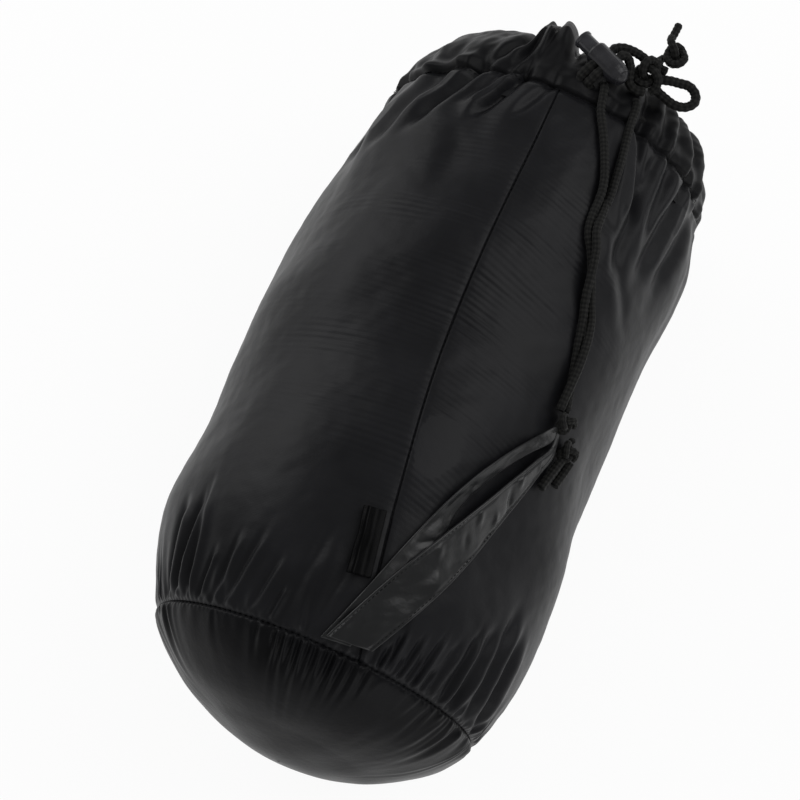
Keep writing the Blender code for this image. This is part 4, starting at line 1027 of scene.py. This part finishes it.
def make_label():
    """A ribbon folded on itself: its cross line runs out, round the fold and back."""
    origin, across, along, off = label_axes()
    bend = -LABEL_REACH + LABEL_FOLD + LABEL_THICK / 2
    centre = [(0.0, 1.1), (-3.0, 1.9), (-6.0, 2.9)]
    for k in range(11):
        angle = pi / 2 + pi * k / 10
        centre.append((bend + LABEL_FOLD * cos(angle), LABEL_FOLD + LABEL_FOLD * sin(angle)))
    centre += [(-6.0, 0.05), (-3.0, 0.0), (0.0, 0.0)]
    centre = smooth_route([(x, z, 0.0) for x, z in centre], LABEL_STEP)[:, :2]
    run = units(np.gradient(centre, axis=0))
    side = np.stack([run[:, 1], -run[:, 0]], axis=1)
    outline = np.concatenate([centre + side * LABEL_THICK / 2, (centre - side * LABEL_THICK / 2)[::-1]])
    stations = np.linspace(-LABEL_LENGTH / 2, LABEL_LENGTH / 2, 64)
    warp = 0.35 * np.sin(stations / 6.3 + 0.6) + 0.12 * np.sin(stations / 2.1)
    share = np.clip(-outline[:, 0] / LABEL_REACH, 0, 1)
    ridge = bell(outline[:, 0] + 8.2, 1.3) - 0.8 * bell(outline[:, 0] + 4.6, 1.8)
    points = []
    for y, lean in zip(stations, warp):
        x = outline[:, 0] + lean * share
        z = outline[:, 1] + 0.3 * share * sin(y / 4.0) + 0.7 * ridge
        points.append(origin + x[:, None] * across + z[:, None] * off + y * along)
    points = np.array(points)
    rows, total = points.shape[:2]
    label = solid_object("label_cloth", points, tube_faces(rows, total), LABEL_SATIN,
                         (stations[:, None], np.arange(total)[None] * LABEL_STEP))
    settle(label, "label", "label_loop")


def skin_line(route, lift):
    """A line on the sack's skin and its outward direction, from (arc, y) places."""
    fine = smooth_route([(a, y, 0.0) for a, y in route], 1.0)
    line = np.array([on_skin(a, y, lift) for a, y, _ in fine])
    outward = line - np.stack([sway(line[:, 1]), line[:, 1], np.full(len(line), AXIS_HEIGHT)], axis=1)
    return line, units(outward)


def sack_stitches(name, line, outward, pitch, length, thickness):
    row = stitches(name, line, outward, pitch, length, thickness)
    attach(row, "sack")


def make_seam_stitches():
    """Stitches of the side seam, and of the seams at both ends of the body where they are in view."""
    line, outward = skin_line([(float(seam_arc(y)), y) for y in np.linspace(8, 304, 75)], -1.05)
    sack_stitches("side_seam_stitch", line, outward, 3.1, 2.0, 0.5)
    turns = np.linspace(-1.9, 1.95, 900)
    folds = mouth_gathers(turns[None], np.full((1, 900), LENGTH))[0]
    for name, y, lift, radius, push, slot in (
        ("base_seam_stitch", 0.0, -0.95, BASE_RADIUS, 0.0, "base_taffeta"),
        ("hem_stitch", 307.9, -1.2, HEM_RADIUS, folds, "hem_taffeta"),
    ):
        line = around(turns, y, radius + lift + push - floor_dent(radius, turns))
        outward = around(turns, y, radius + 1.0) - around(turns, y, radius)
        sack_stitches(name, line, outward, SEAM_PITCH, 1.9, 0.45)


make_strap_stitches(*make_strap())
make_label()
make_seam_stitches()


# ---------------- solids that stay

for node, look in (("lock_barrel", BARREL), ("lock_plunger", PLUNGER), ("lock_spring", SPRING),
                   ("carry_cord_bight", CORD), ("drawcord_in_casing", CORD)):
    for place in frame["nodes"][node].material_slots:
        place.material = look


# ---------------- studio

def white_for_view(tree, dim, overhead):
    """1 for camera rays; white falling to overhead above for mirrored rays; dim for the light on the object."""
    path = add_node(tree, "LightPath")
    place = add_node(tree, "TexCoord")
    parts = add_node(tree, "SeparateXYZ")
    link(place, "Generated", parts, "Vector")
    sky = add_node(tree, "MapRange", From_Min=0.0, From_Max=0.24, To_Min=1.0, To_Max=overhead)
    link(parts, "Z", sky, "Value")
    mirrored = math_node(tree, "MAXIMUM", (path, "Is Glossy Ray"), (path, "Is Transmission Ray"))
    strength = add_node(tree, "Mix", A=dim)
    link(mirrored, "Value", strength, "Factor")
    link(sky, "Result", strength, "B")
    return math_node(tree, "MAXIMUM", (strength, "Result"), (path, "Is Camera Ray"))


def make_studio():
    """Even white light, a white floor that keeps its contact shade, and three soft lamps."""
    world_data = bpy.data.worlds.new("studio")
    world_data.use_nodes = True
    bpy.context.scene.world = world_data
    tree = world_data.node_tree
    background = tree.nodes["Background"]
    set_values(background, Color=(1, 1, 1, 1))
    link(white_for_view(tree, 0.50, 0.36), "Value", background, "Strength")

    floor_look = bpy.data.materials.new("floor_look")
    floor_look.use_nodes = True
    tree = floor_look.node_tree
    tree.nodes.remove(tree.nodes["Principled BSDF"])
    matte = add_node(tree, "BsdfDiffuse", Color=(0.9, 0.9, 0.9, 1))
    glow = add_node(tree, "Emission", Color=(1, 1, 1, 1))
    path = add_node(tree, "LightPath")
    seen = math_node(tree, "MAXIMUM", (path, "Is Camera Ray"), (path, "Is Glossy Ray"))
    share = math_node(tree, "MULTIPLY", (seen, "Value"))
    share.inputs[1].default_value = 0.93
    blend = add_node(tree, "MixShader")
    link(share, "Value", blend, "Fac")
    link(matte, 0, blend, 1)
    link(glow, 0, blend, 2)
    link(blend, 0, tree.nodes["Material Output"], "Surface")
    bpy.ops.mesh.primitive_plane_add(size=24.0, location=(0, 0, -0.0005))
    floor = bpy.context.active_object
    floor.name = "floor"
    floor.data.materials.append(floor_look)

    for name, place, size, energy in (
        ("key_light", (-1.35, 0.45, 0.9), 1.0, 8.0), ("side_light", (0.8, 0.55, 1.25), 1.1, 8.0),
        ("front_light", (0.9, -1.3, 0.6), 0.7, 3.0),
    ):
        data = bpy.data.lights.new(name, "AREA")
        data.size = size
        data.energy = energy
        lamp = add_to_scene(name, data)
        lamp.location = place
        lamp.rotation_euler = (Vector(place) - Vector((0, 0, 0.09))).to_track_quat("Z", "Y").to_euler()
    bpy.context.scene.view_settings.view_transform = "Standard"


make_studio()
